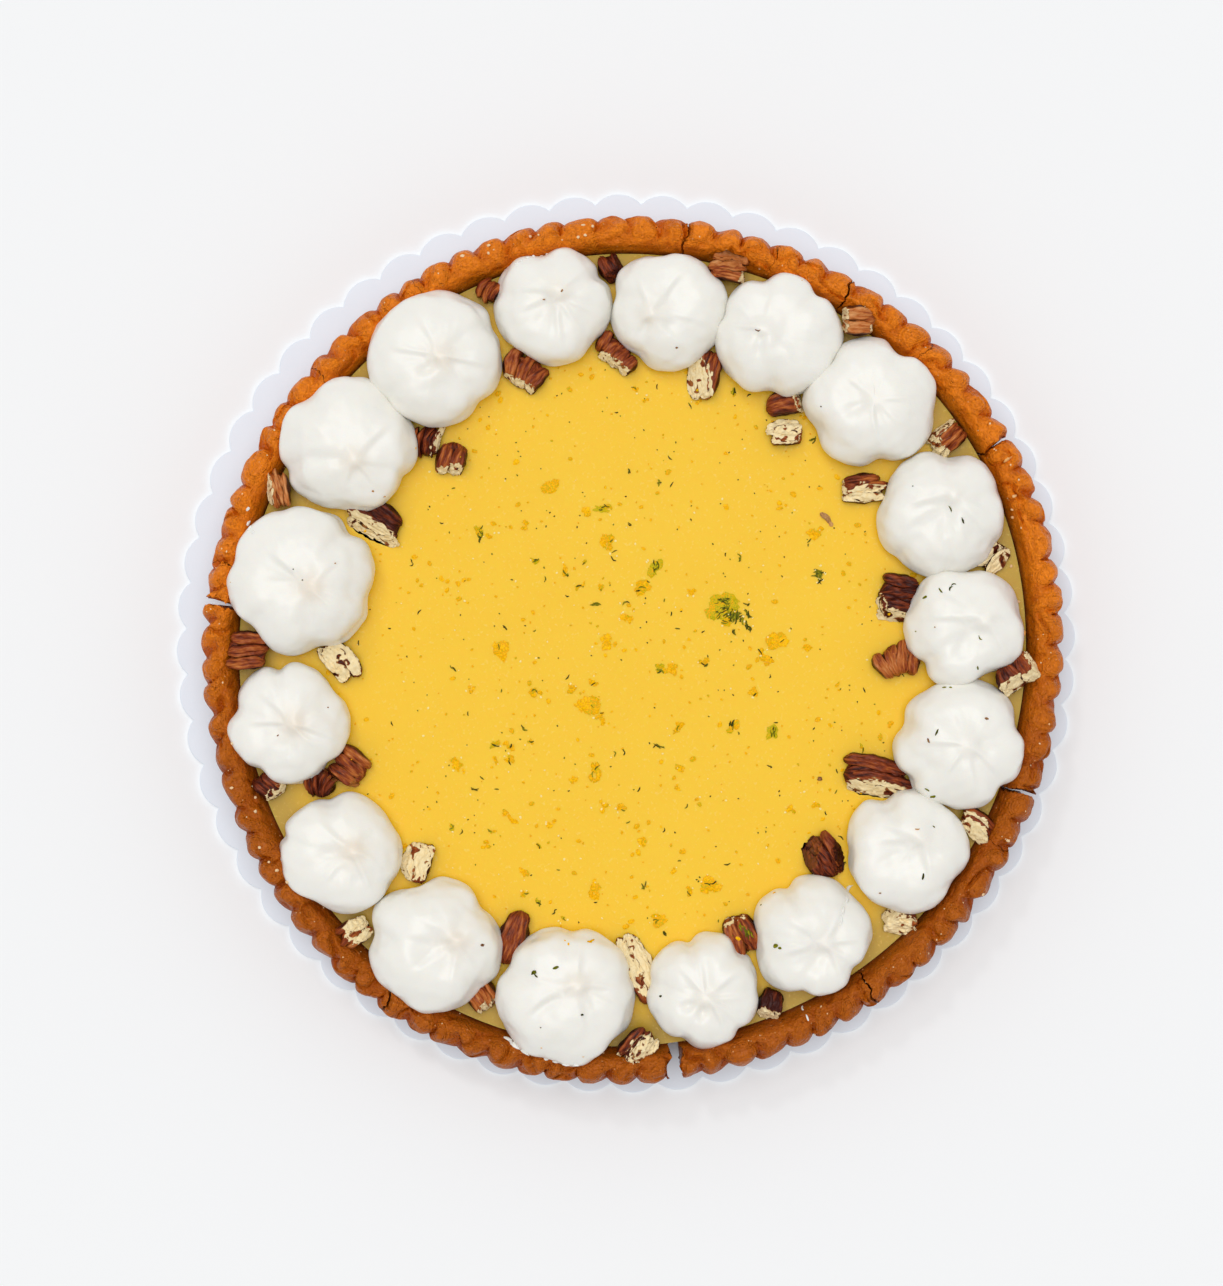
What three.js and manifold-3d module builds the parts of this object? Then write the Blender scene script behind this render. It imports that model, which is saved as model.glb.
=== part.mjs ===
// A lemon meringue pie as a pastry shop sells it: a fluted shortcrust shell full of
// lemon curd, with a ring of piped meringue rosettes and broken pecans, on the
// scalloped card that carries it.
// Millimetres, +Z up. The origin is the centre of the card's underside.
// Bearings are degrees counter-clockwise from +X, seen from above.

import * as THREE from "three";
import { mergeVertices } from "three/addons/utils/BufferGeometryUtils.js";
import loadManifold from "manifold-3d";

const manifold = await loadManifold();
manifold.setup();

// ---- Driving dimensions ------------------------------------------------------------

const GAP = 0.3; // air kept between neighbouring pieces

// The card: thick board, its edge a row of small arcs.
const CARD_RADIUS = 150; // to the crest of a scallop
const CARD_THICKNESS = 2;
const SCALLOPS = 60;
const SCALLOP_DEPTH = 3.3;
const FIRST_SCALLOP = 1; // bearing of a crest
const STEPS_PER_SCALLOP = 4;

// The tart stands a little off the card's centre.
const TART_X = 1.8;
const TART_Y = -2.3;

// The shell, as radii and heights of its section. The tin's flutes mark its outside.
const SHELL_BOTTOM = CARD_THICKNESS + GAP;
const SHELL_BASE_RADIUS = 136;
const BEAD_RADIUS = 141; // the widest place, just under the rounded rim
const BEAD_HEIGHT = 27;
const CROWN_RADIUS = 137; // the top of the rim
const CROWN_HEIGHT = 31;
const SHOULDER_RADIUS = 132; // where the rim turns down to the curd
const SHOULDER_HEIGHT = 30;
const WALL_RADIUS = 129; // the inner wall at the curd's surface
const FLOOR_RADIUS = 126.5; // the inner wall at the floor
const FLOOR_TOP = 5.7;
const FLUTES = 88;
const FLUTE_SWING = 0.85; // crest and valley lie this far out and in
const FIRST_FLUTE = -1.1; // bearing of a crest
const STEPS_PER_FLUTE = 3; // one corner in each valley and two on each crest
const RIM_LUMP = 0.5; // how far each rim wave rises and falls
const ABOVE_RIM = CROWN_HEIGHT + 4; // a height clear of the whole rim
const BEYOND_RIM = BEAD_RADIUS + 5; // a radius clear of the whole shell
const INSIDE_WALL = WALL_RADIUS - 2; // a radius that the wall doesn't reach in to

// A hand-made shell is not quite round: waves of [crests, swing, bearing of a crest].
const OUTLINE_WAVES = [
  [2, 1.0, 60],
  [3, 0.6, 0],
  [5, 0.4, 30],
];
const RIM_WAVES = [
  [7, RIM_LUMP, 12],
  [19, RIM_LUMP, 5],
];

// Breaks in the rim: bearing, width at the inner and the outer side, sideways jog,
// and the height that the break reaches down to.
const CRACKS = [
  { bearing: -84, inner: 3.4, outer: 5.6, jog: 0.8, reaches: 0 },
  { bearing: -20, inner: 0.9, outer: 2.2, jog: -0.7, reaches: 0 },
  { bearing: 173.5, inner: 1.4, outer: 3.0, jog: 0.6, reaches: 0 },
  { bearing: 29.5, inner: 0.8, outer: 1.6, jog: -0.5, reaches: 0 },
  { bearing: 82.5, inner: 0.7, outer: 1.0, jog: 0.6, reaches: 22 },
  { bearing: 59, inner: 0.6, outer: 0.9, jog: -0.5, reaches: 25 },
  { bearing: -55, inner: 0.6, outer: 0.9, jog: 0.5, reaches: 24 },
  { bearing: -125, inner: 1.2, outer: 0.8, jog: -0.9, reaches: 25 },
];

// The curd fills the shell to some way under its rim.
const CURD_TOP = 24;
const CURD_STEPS = 56;
const INSIDE_CURD = CURD_TOP - 4; // a height that no topping reaches down to

// Meringue rosettes: place on the ring, mean width, bearings of the lobes' crests, and
// how far east and north the low peak lies from the middle.
const ROSETTE_BASE = CURD_TOP + GAP;
const ROSETTE_TALL = 0.5; // height over width
const ROSETTE_STEPS = 24;
const SEAM_BOX = 60; // larger than any rosette
const LOBE_SWING = 0.09; // crest and valley lie this share of the radius out and in
const ROSETTE_PROFILE = [ // radius and height as shares of the whole
  [0, 0],
  [0.9, 0],
  [1.0, 0.24],
  [0.92, 0.5],
  [0.66, 0.78],
  [0.32, 0.93],
  [0, 1],
];
const ROSETTES = [
  { bearing: 103, reach: 115, width: 36, lobes: [5, 60, 140, 195, 285, 350], peak: [2, 3] },
  { bearing: 84, reach: 112, width: 36, lobes: [10, 65, 130, 200, 275, 350], peak: [-6, -3] },
  { bearing: 65, reach: 113, width: 39, lobes: [15, 80, 130, 190, 225, 300], peak: [-6, 1] },
  { bearing: 46, reach: 112, width: 40, lobes: [30, 90, 175, 235, 320], peak: [0, 0] },
  { bearing: 24, reach: 110, width: 39, lobes: [45, 120, 200, 250, 300, 355], peak: [3, 5.5] },
  { bearing: 4, reach: 108, width: 37, lobes: [45, 130, 190, 255, 340], peak: [6, 2.5] },
  { bearing: -16, reach: 111, width: 40, lobes: [45, 130, 190, 235, 275, 350], peak: [1.5, 0.5] },
  { bearing: -36, reach: 110, width: 38, lobes: [15, 80, 145, 220, 290, 355], peak: [4, 4.5] },
  { bearing: -58, reach: 110, width: 37, lobes: [10, 90, 140, 230, 290, 355], peak: [4.5, -1] },
  { bearing: -78, reach: 113, width: 35, lobes: [20, 80, 135, 210, 285, 340], peak: [0.5, -2] },
  { bearing: -101, reach: 114, width: 43, lobes: [50, 120, 185, 220, 290, 345], peak: [4.5, 4.5] },
  { bearing: -124, reach: 115, width: 41, lobes: [10, 70, 140, 200, 285, 350], peak: [8, 2] },
  { bearing: -145, reach: 116, width: 38, lobes: [0, 60, 140, 180, 300], peak: [5, 2] },
  { bearing: -168, reach: 114, width: 37, lobes: [0, 75, 125, 205, 275, 350], peak: [2.5, 0] },
  { bearing: 168, reach: 110, width: 46, lobes: [15, 75, 135, 195, 255, 315], peak: [4.5, -2.5] },
  { bearing: 144, reach: 114, width: 42, lobes: [0, 85, 180, 225, 310, 350], peak: [3, -6] },
  { bearing: 124, reach: 115, width: 42, lobes: [0, 60, 190, 255, 285, 345], peak: [3, -1] },
];

// Broken pecans: place, heading of the ridges, length along them and width across,
// and how far those that lean on the rim are lifted off the curd.
const NUT_BASE = CURD_TOP + GAP;
const NUT_TALL = 7.2;
const NUT_FLAT = 0.7; // the underside is cut flat at this share of the half height
const NUT_SIDES = 8; // a ridge on every second one
const NUT_RIDGE = 0.13; // depth of the grooves as a share of the half width
const NUT_NARROWING = 0.22; // how much narrower the ends are than the middle
const NUT_BREAK = 0.12; // slope of the broken ends
const NUTS = [
  { bearing: 93, reach: 125, heading: -62, long: 10, wide: 7 },
  { bearing: 76, reach: 128, heading: -12, long: 13, wide: 9, lift: 3.5 },
  { bearing: 55.5, reach: 130, heading: 5, long: 12, wide: 9, lift: 4.5 },
  { bearing: 34, reach: 124, heading: 38, long: 14, wide: 9 },
  { bearing: 14.5, reach: 122, heading: 40, long: 11, wide: 9 },
  { bearing: -3.5, reach: 126, heading: -55, long: 12, wide: 14, lift: 5 },
  { bearing: -27, reach: 126, heading: -38, long: 13, wide: 8, lift: 2 },
  { bearing: -45, reach: 124, heading: -5, long: 13, wide: 11 },
  { bearing: -68.5, reach: 124, heading: 72, long: 12, wide: 7 },
  { bearing: -89, reach: 129, heading: 48, long: 14, wide: 10, lift: 4.5 },
  { bearing: -113.5, reach: 123, heading: -50, long: 12, wide: 9 },
  { bearing: -134.5, reach: 128, heading: 38, long: 13, wide: 8, lift: 3.5 },
  { bearing: -159.5, reach: 126, heading: -50, long: 11, wide: 8, lift: 1 },
  { bearing: 180, reach: 125, heading: 2, long: 14, wide: 12, lift: 4 },
  { bearing: 155.5, reach: 127, heading: 103, long: 13, wide: 8, lift: 3 },
  { bearing: 111.5, reach: 126, heading: 60, long: 8, wide: 7 },
  { bearing: 111, reach: 97, heading: 62, long: 12, wide: 14 },
  { bearing: 93, reach: 97, heading: 45, long: 9, wide: 15 },
  { bearing: 75.5, reach: 93, heading: 72, long: 19, wide: 10 },
  { bearing: 58, reach: 94, heading: 15, long: 14, wide: 7 },
  { bearing: 54.5, reach: 87, heading: 5, long: 12, wide: 8 },
  { bearing: 35, reach: 92, heading: 5, long: 16, wide: 9 },
  { bearing: 11, reach: 88, heading: -10, long: 14, wide: 16 },
  { bearing: -2, reach: 87, heading: 100, long: 11, wide: 14 },
  { bearing: -28, reach: 90, heading: -12, long: 25, wide: 14 },
  { bearing: -47, reach: 92, heading: -58, long: 17, wide: 12 },
  { bearing: -69, reach: 99, heading: -65, long: 15, wide: 10 },
  { bearing: -89, reach: 102, heading: -70, long: 24, wide: 9 },
  { bearing: -112.5, reach: 102, heading: 70, long: 19, wide: 8 },
  { bearing: -135, reach: 98, heading: 80, long: 15, wide: 9 },
  { bearing: -157, reach: 110, heading: 80, long: 11, wide: 11 },
  { bearing: -157.5, reach: 99, heading: -43, long: 13, wide: 11 },
  { bearing: -178, reach: 96, heading: -52, long: 16, wide: 9 },
  { bearing: 153.5, reach: 94, heading: -27, long: 21, wide: 14 },
  { bearing: 134, reach: 95, heading: 78, long: 11, wide: 9 },
  { bearing: 133, reach: 86, heading: 80, long: 12, wide: 9 },
];

// Zest: small curled shreds, in a few pinches and scattered between them.
const ZEST_SEED = 7;
const ZEST_SHRED = { long: 3.4, wide: 0.9, tall: 1.2, rises: 0.45, curl: 1.4 };
const ZEST_SCATTERED = 16;
const ZEST_REACH = 80; // none lies farther from the tart's middle
const ZEST_PINCHES = [
  { bearing: 21, reach: 35, spread: 3.5, count: 5 },
  { bearing: 22, reach: 66, spread: 2, count: 2 },
  { bearing: 1, reach: 46, spread: 3.5, count: 4 },
  { bearing: -35, reach: 43, spread: 1.5, count: 2 },
  { bearing: -74, reach: 31, spread: 1.5, count: 2 },
  { bearing: -128, reach: 23, spread: 1.8, count: 2 },
];

// ---- Helpers -------------------------------------------------------------------------

const WELD = 1e-4; // corners closer than this are one
const radians = THREE.MathUtils.degToRad;

// The point at a bearing and a reach from the tart's middle.
function placeAt({ bearing, reach }, height) {
  const angle = radians(bearing);
  return new THREE.Vector3(reach * Math.cos(angle), reach * Math.sin(angle), height);
}

// The sum of waves at an angle about the middle.
function waveSum(waves, angle) {
  return waves.reduce(
    (sum, [crests, swing, bearing]) => sum + swing * Math.cos(crests * (angle - radians(bearing))),
    0,
  );
}

// A body of revolution about +Z from [radius, height] pairs, lowest outer pair first.
function turned(profile, steps) {
  const points = profile.map(([radius, height]) => new THREE.Vector2(radius, height));
  return new THREE.LatheGeometry(points, steps).rotateX(Math.PI / 2);
}

// Moves each corner of a geometry with move(point), which changes the point it gets.
function shaped(geometry, move) {
  const position = geometry.attributes.position;
  const point = new THREE.Vector3();
  for (let i = 0; i < position.count; i += 1) {
    point.fromBufferAttribute(position, i);
    move(point);
    position.setXYZ(i, point.x, point.y, point.z);
  }
  return geometry;
}

// A geometry as a solid that can be joined and cut.
function solidOf(geometry) {
  geometry.deleteAttribute("normal");
  geometry.deleteAttribute("uv");
  const merged = mergeVertices(geometry, WELD);
  const corners = merged.index.array;
  const triVerts = [];
  for (let i = 0; i < corners.length; i += 3) {
    const [a, b, c] = corners.slice(i, i + 3);
    if (a !== b && b !== c && c !== a) triVerts.push(a, b, c);
  }
  const mesh = new manifold.Mesh({
    numProp: 3,
    vertProperties: merged.attributes.position.array,
    triVerts: Uint32Array.from(triVerts),
  });
  return new manifold.Manifold(mesh);
}

// A named mesh of a solid, with its geometry about the place where the mesh stands.
function meshOf(name, solid, material, place = new THREE.Vector3()) {
  const { vertProperties, triVerts } = solid.getMesh();
  const geometry = new THREE.BufferGeometry();
  geometry.setAttribute("position", new THREE.BufferAttribute(vertProperties, 3));
  geometry.setIndex(new THREE.BufferAttribute(triVerts, 1));
  geometry.translate(-place.x, -place.y, -place.z);
  geometry.computeVertexNormals();
  const mesh = new THREE.Mesh(geometry, material);
  mesh.name = name;
  mesh.position.copy(place);
  return mesh;
}

// Repeatable random numbers from 0 to 1 (a mulberry32 generator).
function randomFrom(seed) {
  let state = seed;
  return () => {
    state = (state + 0x6d2b79f5) | 0;
    let mixed = Math.imul(state ^ (state >>> 15), 1 | state);
    mixed = (mixed + Math.imul(mixed ^ (mixed >>> 7), 61 | mixed)) ^ mixed;
    return ((mixed ^ (mixed >>> 14)) >>> 0) / 4294967296;
  };
}

// ---- Card ----------------------------------------------------------------------------

// One scallop is an arc through its crest and the valleys beside it.
function cardOutline() {
  const halfPitch = Math.PI / SCALLOPS;
  const valleyRadius = CARD_RADIUS - SCALLOP_DEPTH;
  const halfChord = valleyRadius * Math.sin(halfPitch);
  const rise = CARD_RADIUS - valleyRadius * Math.cos(halfPitch);
  const arcRadius = (rise * rise + halfChord * halfChord) / (2 * rise);
  const halfAngle = Math.atan2(halfChord, arcRadius - rise);
  const points = [];
  for (let scallop = 0; scallop < SCALLOPS; scallop += 1) {
    const crest = radians(FIRST_SCALLOP) + 2 * halfPitch * scallop;
    for (let step = 0; step < STEPS_PER_SCALLOP; step += 1) {
      const turn = halfAngle * ((2 * step) / STEPS_PER_SCALLOP - 1);
      const centre = CARD_RADIUS - arcRadius;
      points.push(new THREE.Vector2(
        centre * Math.cos(crest) + arcRadius * Math.cos(crest + turn),
        centre * Math.sin(crest) + arcRadius * Math.sin(crest + turn),
      ));
    }
  }
  return points;
}

function makeCard(material) {
  const outline = new THREE.Shape(cardOutline());
  const geometry = new THREE.ExtrudeGeometry(outline, { depth: CARD_THICKNESS, bevelEnabled: false });
  return meshOf("card", solidOf(geometry), material);
}

// ---- Shell ---------------------------------------------------------------------------

// Pushes a point of the shell out or in with the tart's uneven outline.
function followOutline(point) {
  const angle = Math.atan2(point.y, point.x);
  const radius = Math.hypot(point.x, point.y);
  const grown = radius * (1 + waveSum(OUTLINE_WAVES, angle) / BEAD_RADIUS);
  point.x = grown * Math.cos(angle);
  point.y = grown * Math.sin(angle);
}

// Flutes fade from the outside to nothing at the shoulder; the crown rises and falls.
function shapeShell(point) {
  const angle = Math.atan2(point.y, point.x);
  const radius = Math.hypot(point.x, point.y);
  const outside = THREE.MathUtils.smoothstep(radius, SHOULDER_RADIUS, CROWN_RADIUS);
  const crest = Math.abs(Math.cos((FLUTES / 2) * (angle - radians(FIRST_FLUTE))));
  const fluted = radius + outside * FLUTE_SWING * (2 * crest - 1);
  point.x = fluted * Math.cos(angle);
  point.y = fluted * Math.sin(angle);
  if (point.z > BEAD_HEIGHT) point.z += waveSum(RIM_WAVES, angle);
  followOutline(point);
}

// The plan of a break: it widens outwards and jogs aside in the middle of the rim.
function crackSolid({ bearing, inner, outer, jog, reaches }) {
  const radii = [INSIDE_WALL, SHOULDER_RADIUS, CROWN_RADIUS, BEYOND_RIM];
  const aside = [0, jog, -jog, 0];
  const halves = radii.map((radius, i) => THREE.MathUtils.lerp(inner, outer, i / 3) / 2);
  const right = radii.map((radius, i) => new THREE.Vector2(radius, aside[i] - halves[i]));
  const left = radii.map((radius, i) => new THREE.Vector2(radius, aside[i] + halves[i]));
  const plan = new THREE.Shape([...right, ...left.reverse()]);
  const geometry = new THREE.ExtrudeGeometry(plan, { depth: ABOVE_RIM - reaches, bevelEnabled: false });
  return solidOf(geometry.translate(0, 0, reaches).rotateZ(radians(bearing)));
}

function makeShell(material) {
  const profile = [
    [0, SHELL_BOTTOM],
    [SHELL_BASE_RADIUS, SHELL_BOTTOM],
    [BEAD_RADIUS, BEAD_HEIGHT],
    [CROWN_RADIUS, CROWN_HEIGHT],
    [SHOULDER_RADIUS, SHOULDER_HEIGHT],
    [WALL_RADIUS, CURD_TOP],
    [FLOOR_RADIUS, FLOOR_TOP],
    [0, FLOOR_TOP],
  ];
  const firstValley = radians(FIRST_FLUTE + 180 / FLUTES);
  const round = turned(profile, FLUTES * STEPS_PER_FLUTE).rotateZ(firstValley);
  const whole = solidOf(shaped(round, shapeShell));
  const broken = CRACKS.reduce((shell, crack) => shell.subtract(crackSolid(crack)), whole);
  return meshOf("crust", broken, material);
}

// The space that toppings leave to the rim and the inner wall.
function rimRoom() {
  const clear = GAP + 2 * RIM_LUMP;
  const profile = [
    [WALL_RADIUS - GAP, INSIDE_CURD],
    [BEYOND_RIM, INSIDE_CURD],
    [BEYOND_RIM, BEAD_HEIGHT + clear],
    [CROWN_RADIUS, CROWN_HEIGHT + clear],
    [SHOULDER_RADIUS, SHOULDER_HEIGHT + clear],
    [WALL_RADIUS - GAP, CURD_TOP],
    [WALL_RADIUS - GAP, INSIDE_CURD],
  ];
  return solidOf(shaped(turned(profile, CURD_STEPS), followOutline));
}

// ---- Curd ----------------------------------------------------------------------------

// A shred of zest: a short strip bent in plan, part of it sunk in the curd.
function shredSolid(place, heading) {
  const { long, wide, tall, rises, curl } = ZEST_SHRED;
  const side = (offset) => [
    new THREE.Vector2(-long / 2, offset),
    new THREE.Vector2(0, offset + curl / 2),
    new THREE.Vector2(long / 2, offset),
  ];
  const plan = new THREE.Shape([...side(-wide / 2), ...side(wide / 2).reverse()]);
  const geometry = new THREE.ExtrudeGeometry(plan, { depth: tall, bevelEnabled: false });
  geometry.rotateZ(heading).translate(place.x, place.y, CURD_TOP + rises - tall);
  return solidOf(geometry);
}

function zestPlaces(random) {
  const places = [];
  for (const pinch of ZEST_PINCHES) {
    for (let i = 0; i < pinch.count; i += 1) {
      const place = placeAt(pinch, 0);
      place.x += pinch.spread * (2 * random() - 1);
      place.y += pinch.spread * (2 * random() - 1);
      places.push(place);
    }
  }
  for (let i = 0; i < ZEST_SCATTERED; i += 1) {
    const reach = ZEST_REACH * Math.sqrt((i + 0.5) / ZEST_SCATTERED);
    places.push(placeAt({ bearing: 360 * random(), reach }, 0));
  }
  return places;
}

function makeCurd(material) {
  const profile = [
    [0, FLOOR_TOP + GAP],
    [FLOOR_RADIUS - GAP, FLOOR_TOP + GAP],
    [WALL_RADIUS - GAP, CURD_TOP],
    [0, CURD_TOP],
  ];
  const random = randomFrom(ZEST_SEED);
  const plain = solidOf(shaped(turned(profile, CURD_STEPS), followOutline));
  const sprinkled = zestPlaces(random).reduce(
    (curd, place) => curd.add(shredSolid(place, 2 * Math.PI * random())),
    plain,
  );
  return meshOf("filling", sprinkled, material);
}

// ---- Pecans --------------------------------------------------------------------------

// A broken piece: a ridged bar with a flat underside and slanting ends. The margin
// makes the larger body that a neighbour leaves free.
function nutSolid(nut, margin) {
  const long = nut.long + 2 * margin;
  const wide = nut.wide + 2 * margin;
  const halfTall = (NUT_TALL + 2 * margin) / (1 + NUT_FLAT);
  const bar = new THREE.CylinderGeometry(1, 1, long, NUT_SIDES, 2).rotateZ(-Math.PI / 2);
  shaped(bar, (point) => {
    const around = Math.atan2(point.z, point.y);
    const along = (2 * point.x) / long;
    const ridge = 1 - NUT_RIDGE * (1 - Math.cos((NUT_SIDES / 2) * around));
    const taper = 1 - NUT_NARROWING * along * along;
    const share = Math.hypot(point.y, point.z);
    point.y = (wide / 2) * share * taper * ridge * Math.cos(around);
    point.z = halfTall * Math.max(-NUT_FLAT, share * taper * ridge * Math.sin(around));
    point.x += NUT_BREAK * along * point.y;
  });
  bar.translate(0, 0, NUT_FLAT * halfTall - margin).rotateZ(radians(nut.heading));
  const place = placeAt(nut, NUT_BASE + (nut.lift ?? 0));
  return solidOf(bar.translate(place.x, place.y, place.z));
}

// Nuts keep off the rim and off the nuts that were laid before them.
function layNuts(room) {
  const laid = [];
  for (const nut of NUTS) {
    let solid = nutSolid(nut, 0).subtract(room);
    for (const earlier of laid) {
      const near = placeAt(nut, 0).distanceTo(placeAt(earlier.nut, 0));
      if (near < (nut.long + earlier.nut.long) / 2 + GAP) {
        solid = solid.subtract(nutSolid(earlier.nut, GAP));
      }
    }
    laid.push({ nut, solid });
  }
  return laid;
}

// ---- Meringue ------------------------------------------------------------------------

// How far out a rosette's lobes reach at an angle: 1 on a crest, -1 in a fold.
function lobeAt(angle, lobes) {
  const bearing = THREE.MathUtils.euclideanModulo(THREE.MathUtils.radToDeg(angle), 360);
  const next = lobes.findIndex((crest) => crest > bearing);
  const after = next < 0 ? lobes[0] + 360 : lobes[next];
  const before = next < 1 ? lobes[lobes.length - 1] - (next < 0 ? 0 : 360) : lobes[next - 1];
  const phase = (bearing - before) / (after - before);
  return 2 * Math.abs(Math.cos(Math.PI * phase)) - 1;
}

// A piped rosette: a lobed dollop drawn up to a low peak that leans off its middle.
function rosetteSolid({ bearing, reach, width, lobes, peak }) {
  const height = ROSETTE_TALL * width;
  const profile = ROSETTE_PROFILE.map(([out, up]) => [out * (width / 2), up * height]);
  const dollop = shaped(turned(profile, ROSETTE_STEPS), (point) => {
    const up = point.z / height;
    const lobed = 1 + LOBE_SWING * lobeAt(Math.atan2(point.y, point.x), lobes);
    point.x = point.x * lobed + peak[0] * up * up;
    point.y = point.y * lobed + peak[1] * up * up;
  });
  const place = placeAt({ bearing, reach }, ROSETTE_BASE);
  return solidOf(dollop.translate(place.x, place.y, place.z));
}

// The far side of the plane where two rosettes press together.
function beyondSeam(rosette, neighbour) {
  const from = placeAt(rosette, ROSETTE_BASE);
  const to = placeAt(neighbour, ROSETTE_BASE);
  const apart = from.distanceTo(to);
  const squares = (rosette.width ** 2 - neighbour.width ** 2) / 4;
  const seam = (apart + squares / apart) / 2 - GAP / 2;
  const box = new THREE.BoxGeometry(SEAM_BOX, SEAM_BOX, SEAM_BOX);
  box.translate(seam + SEAM_BOX / 2, 0, 0);
  box.rotateZ(Math.atan2(to.y - from.y, to.x - from.x)).translate(from.x, from.y, from.z);
  return solidOf(box);
}

function makeRosettes(material, room, laid) {
  return ROSETTES.map((rosette, i) => {
    const next = ROSETTES[(i + 1) % ROSETTES.length];
    const previous = ROSETTES[(i + ROSETTES.length - 1) % ROSETTES.length];
    const place = placeAt(rosette, ROSETTE_BASE);
    let solid = rosetteSolid(rosette).subtract(room);
    solid = solid.subtract(beyondSeam(rosette, next));
    solid = solid.subtract(beyondSeam(rosette, previous));
    for (const { nut } of laid) {
      if (placeAt(nut, ROSETTE_BASE).distanceTo(place) < rosette.width / 2 + nut.long) {
        solid = solid.subtract(nutSolid(nut, GAP));
      }
    }
    return meshOf(`meringue_${String(i + 1).padStart(2, "0")}`, solid, material, place);
  });
}

function makeNuts(material, laid) {
  return laid.map(({ nut, solid }, i) => {
    const place = placeAt(nut, NUT_BASE + (nut.lift ?? 0));
    return meshOf(`pecan_${String(i + 1).padStart(2, "0")}`, solid, material, place);
  });
}

// ---- Materials and assembly ----------------------------------------------------------

function finish(color, roughness) {
  return new THREE.MeshStandardMaterial({ color, roughness, metalness: 0 });
}

const cardBoard = finish(0xe3e2e9, 0.6);
const bakedPastry = finish(0xc0692a, 0.5);
const lemonCurd = finish(0xf0bf3d, 0.3);
const meringue = finish(0xf2f0ec, 0.45);
const pecan = finish(0x7a3f25, 0.55);

const room = rimRoom();
const laidNuts = layNuts(room);

const tart = new THREE.Group();
tart.position.set(TART_X, TART_Y, 0);
tart.add(makeShell(bakedPastry));
tart.add(makeCurd(lemonCurd));
tart.add(...makeRosettes(meringue, room, laidNuts));
tart.add(...makeNuts(pecan, laidNuts));

const pie = new THREE.Group();
pie.add(makeCard(cardBoard));
pie.add(tart);

export default pie;
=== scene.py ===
# %% [markdown]
# # A lemon meringue pie
#
# A pastry shop's pie is made in layers: a fluted shortcrust shell, lemon curd poured
# into it, a ring of piped meringue, broken pecans and grated zest, and a scalloped
# card under it all. The solids of the frame already have the right places and sizes.
# This lesson gives each of them the surface that the eye expects, and leaves them
# where they are.
#
# Every cell works in millimetres, because that is how a baker measures. A piece is
# turned into metres once, when it is finished.

# %% Load the frame
import math
import random

import bmesh
import bpy
from mathutils import Matrix, Vector, noise


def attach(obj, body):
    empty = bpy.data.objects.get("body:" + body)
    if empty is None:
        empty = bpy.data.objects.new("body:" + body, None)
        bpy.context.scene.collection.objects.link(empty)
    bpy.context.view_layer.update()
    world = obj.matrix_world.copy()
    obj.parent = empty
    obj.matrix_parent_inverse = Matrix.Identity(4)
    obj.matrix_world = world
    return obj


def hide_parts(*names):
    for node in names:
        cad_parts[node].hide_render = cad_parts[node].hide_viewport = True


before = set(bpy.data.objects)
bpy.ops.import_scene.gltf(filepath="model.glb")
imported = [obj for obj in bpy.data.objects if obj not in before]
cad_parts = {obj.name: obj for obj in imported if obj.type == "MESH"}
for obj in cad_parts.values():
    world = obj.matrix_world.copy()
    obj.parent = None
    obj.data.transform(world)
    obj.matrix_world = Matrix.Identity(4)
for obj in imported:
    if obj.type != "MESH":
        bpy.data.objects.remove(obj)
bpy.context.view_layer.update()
print("solids in the frame:", len(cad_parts))

# %% [markdown]
# ## Helpers for places and shapes
#
# A round pie is easiest to describe with bearings and reaches: an angle counter-clockwise
# from the right, and a distance from the middle. A few small functions turn them into
# points and blend one value into another. They could be written out each time they are
# needed, but a shared name makes the later cells read like a recipe.

# %% Places, blends and waves
MM = 0.001  # the frame is in metres
TART_MIDDLE = Vector((1.8, -2.3, 0.0))  # the tart stands a little off the card's centre
SEED_SHIFT = (1.0, 2.3, -1.7)  # how far a seed moves the noise along X, Y and Z


def place_at(bearing, reach, height=0.0):
    angle = math.radians(bearing)
    return Vector((reach * math.cos(angle), reach * math.sin(angle), height))


def blend(low, high, share):
    return low + (high - low) * share


def rise(start, end, value):
    """0 before start, 1 after end, and a soft step between them."""
    share = min(max((value - start) / (end - start), 0.0), 1.0)
    return share * share * (3.0 - 2.0 * share)


def wave_sum(waves, angle):
    """Waves of [crests, swing, bearing of a crest], added up at an angle."""
    return sum(
        swing * math.cos(crests * (angle - math.radians(bearing))) for crests, swing, bearing in waves
    )


def rough(point, size, seed=0.0):
    """Smooth noise from -1 to 1, with lumps of about this size."""
    return noise.noise(point / size + Vector([seed * shift for shift in SEED_SHIFT]))


def rough_sum(point, layers, seed=0.0):
    """Layers of such noise as [swing, size, seed], added up at a point."""
    return sum(swing * rough(point, size, seed + own) for swing, size, own in layers)


def turn_by(degrees):
    return Matrix.Rotation(math.radians(degrees), 3, "Z")
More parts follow.
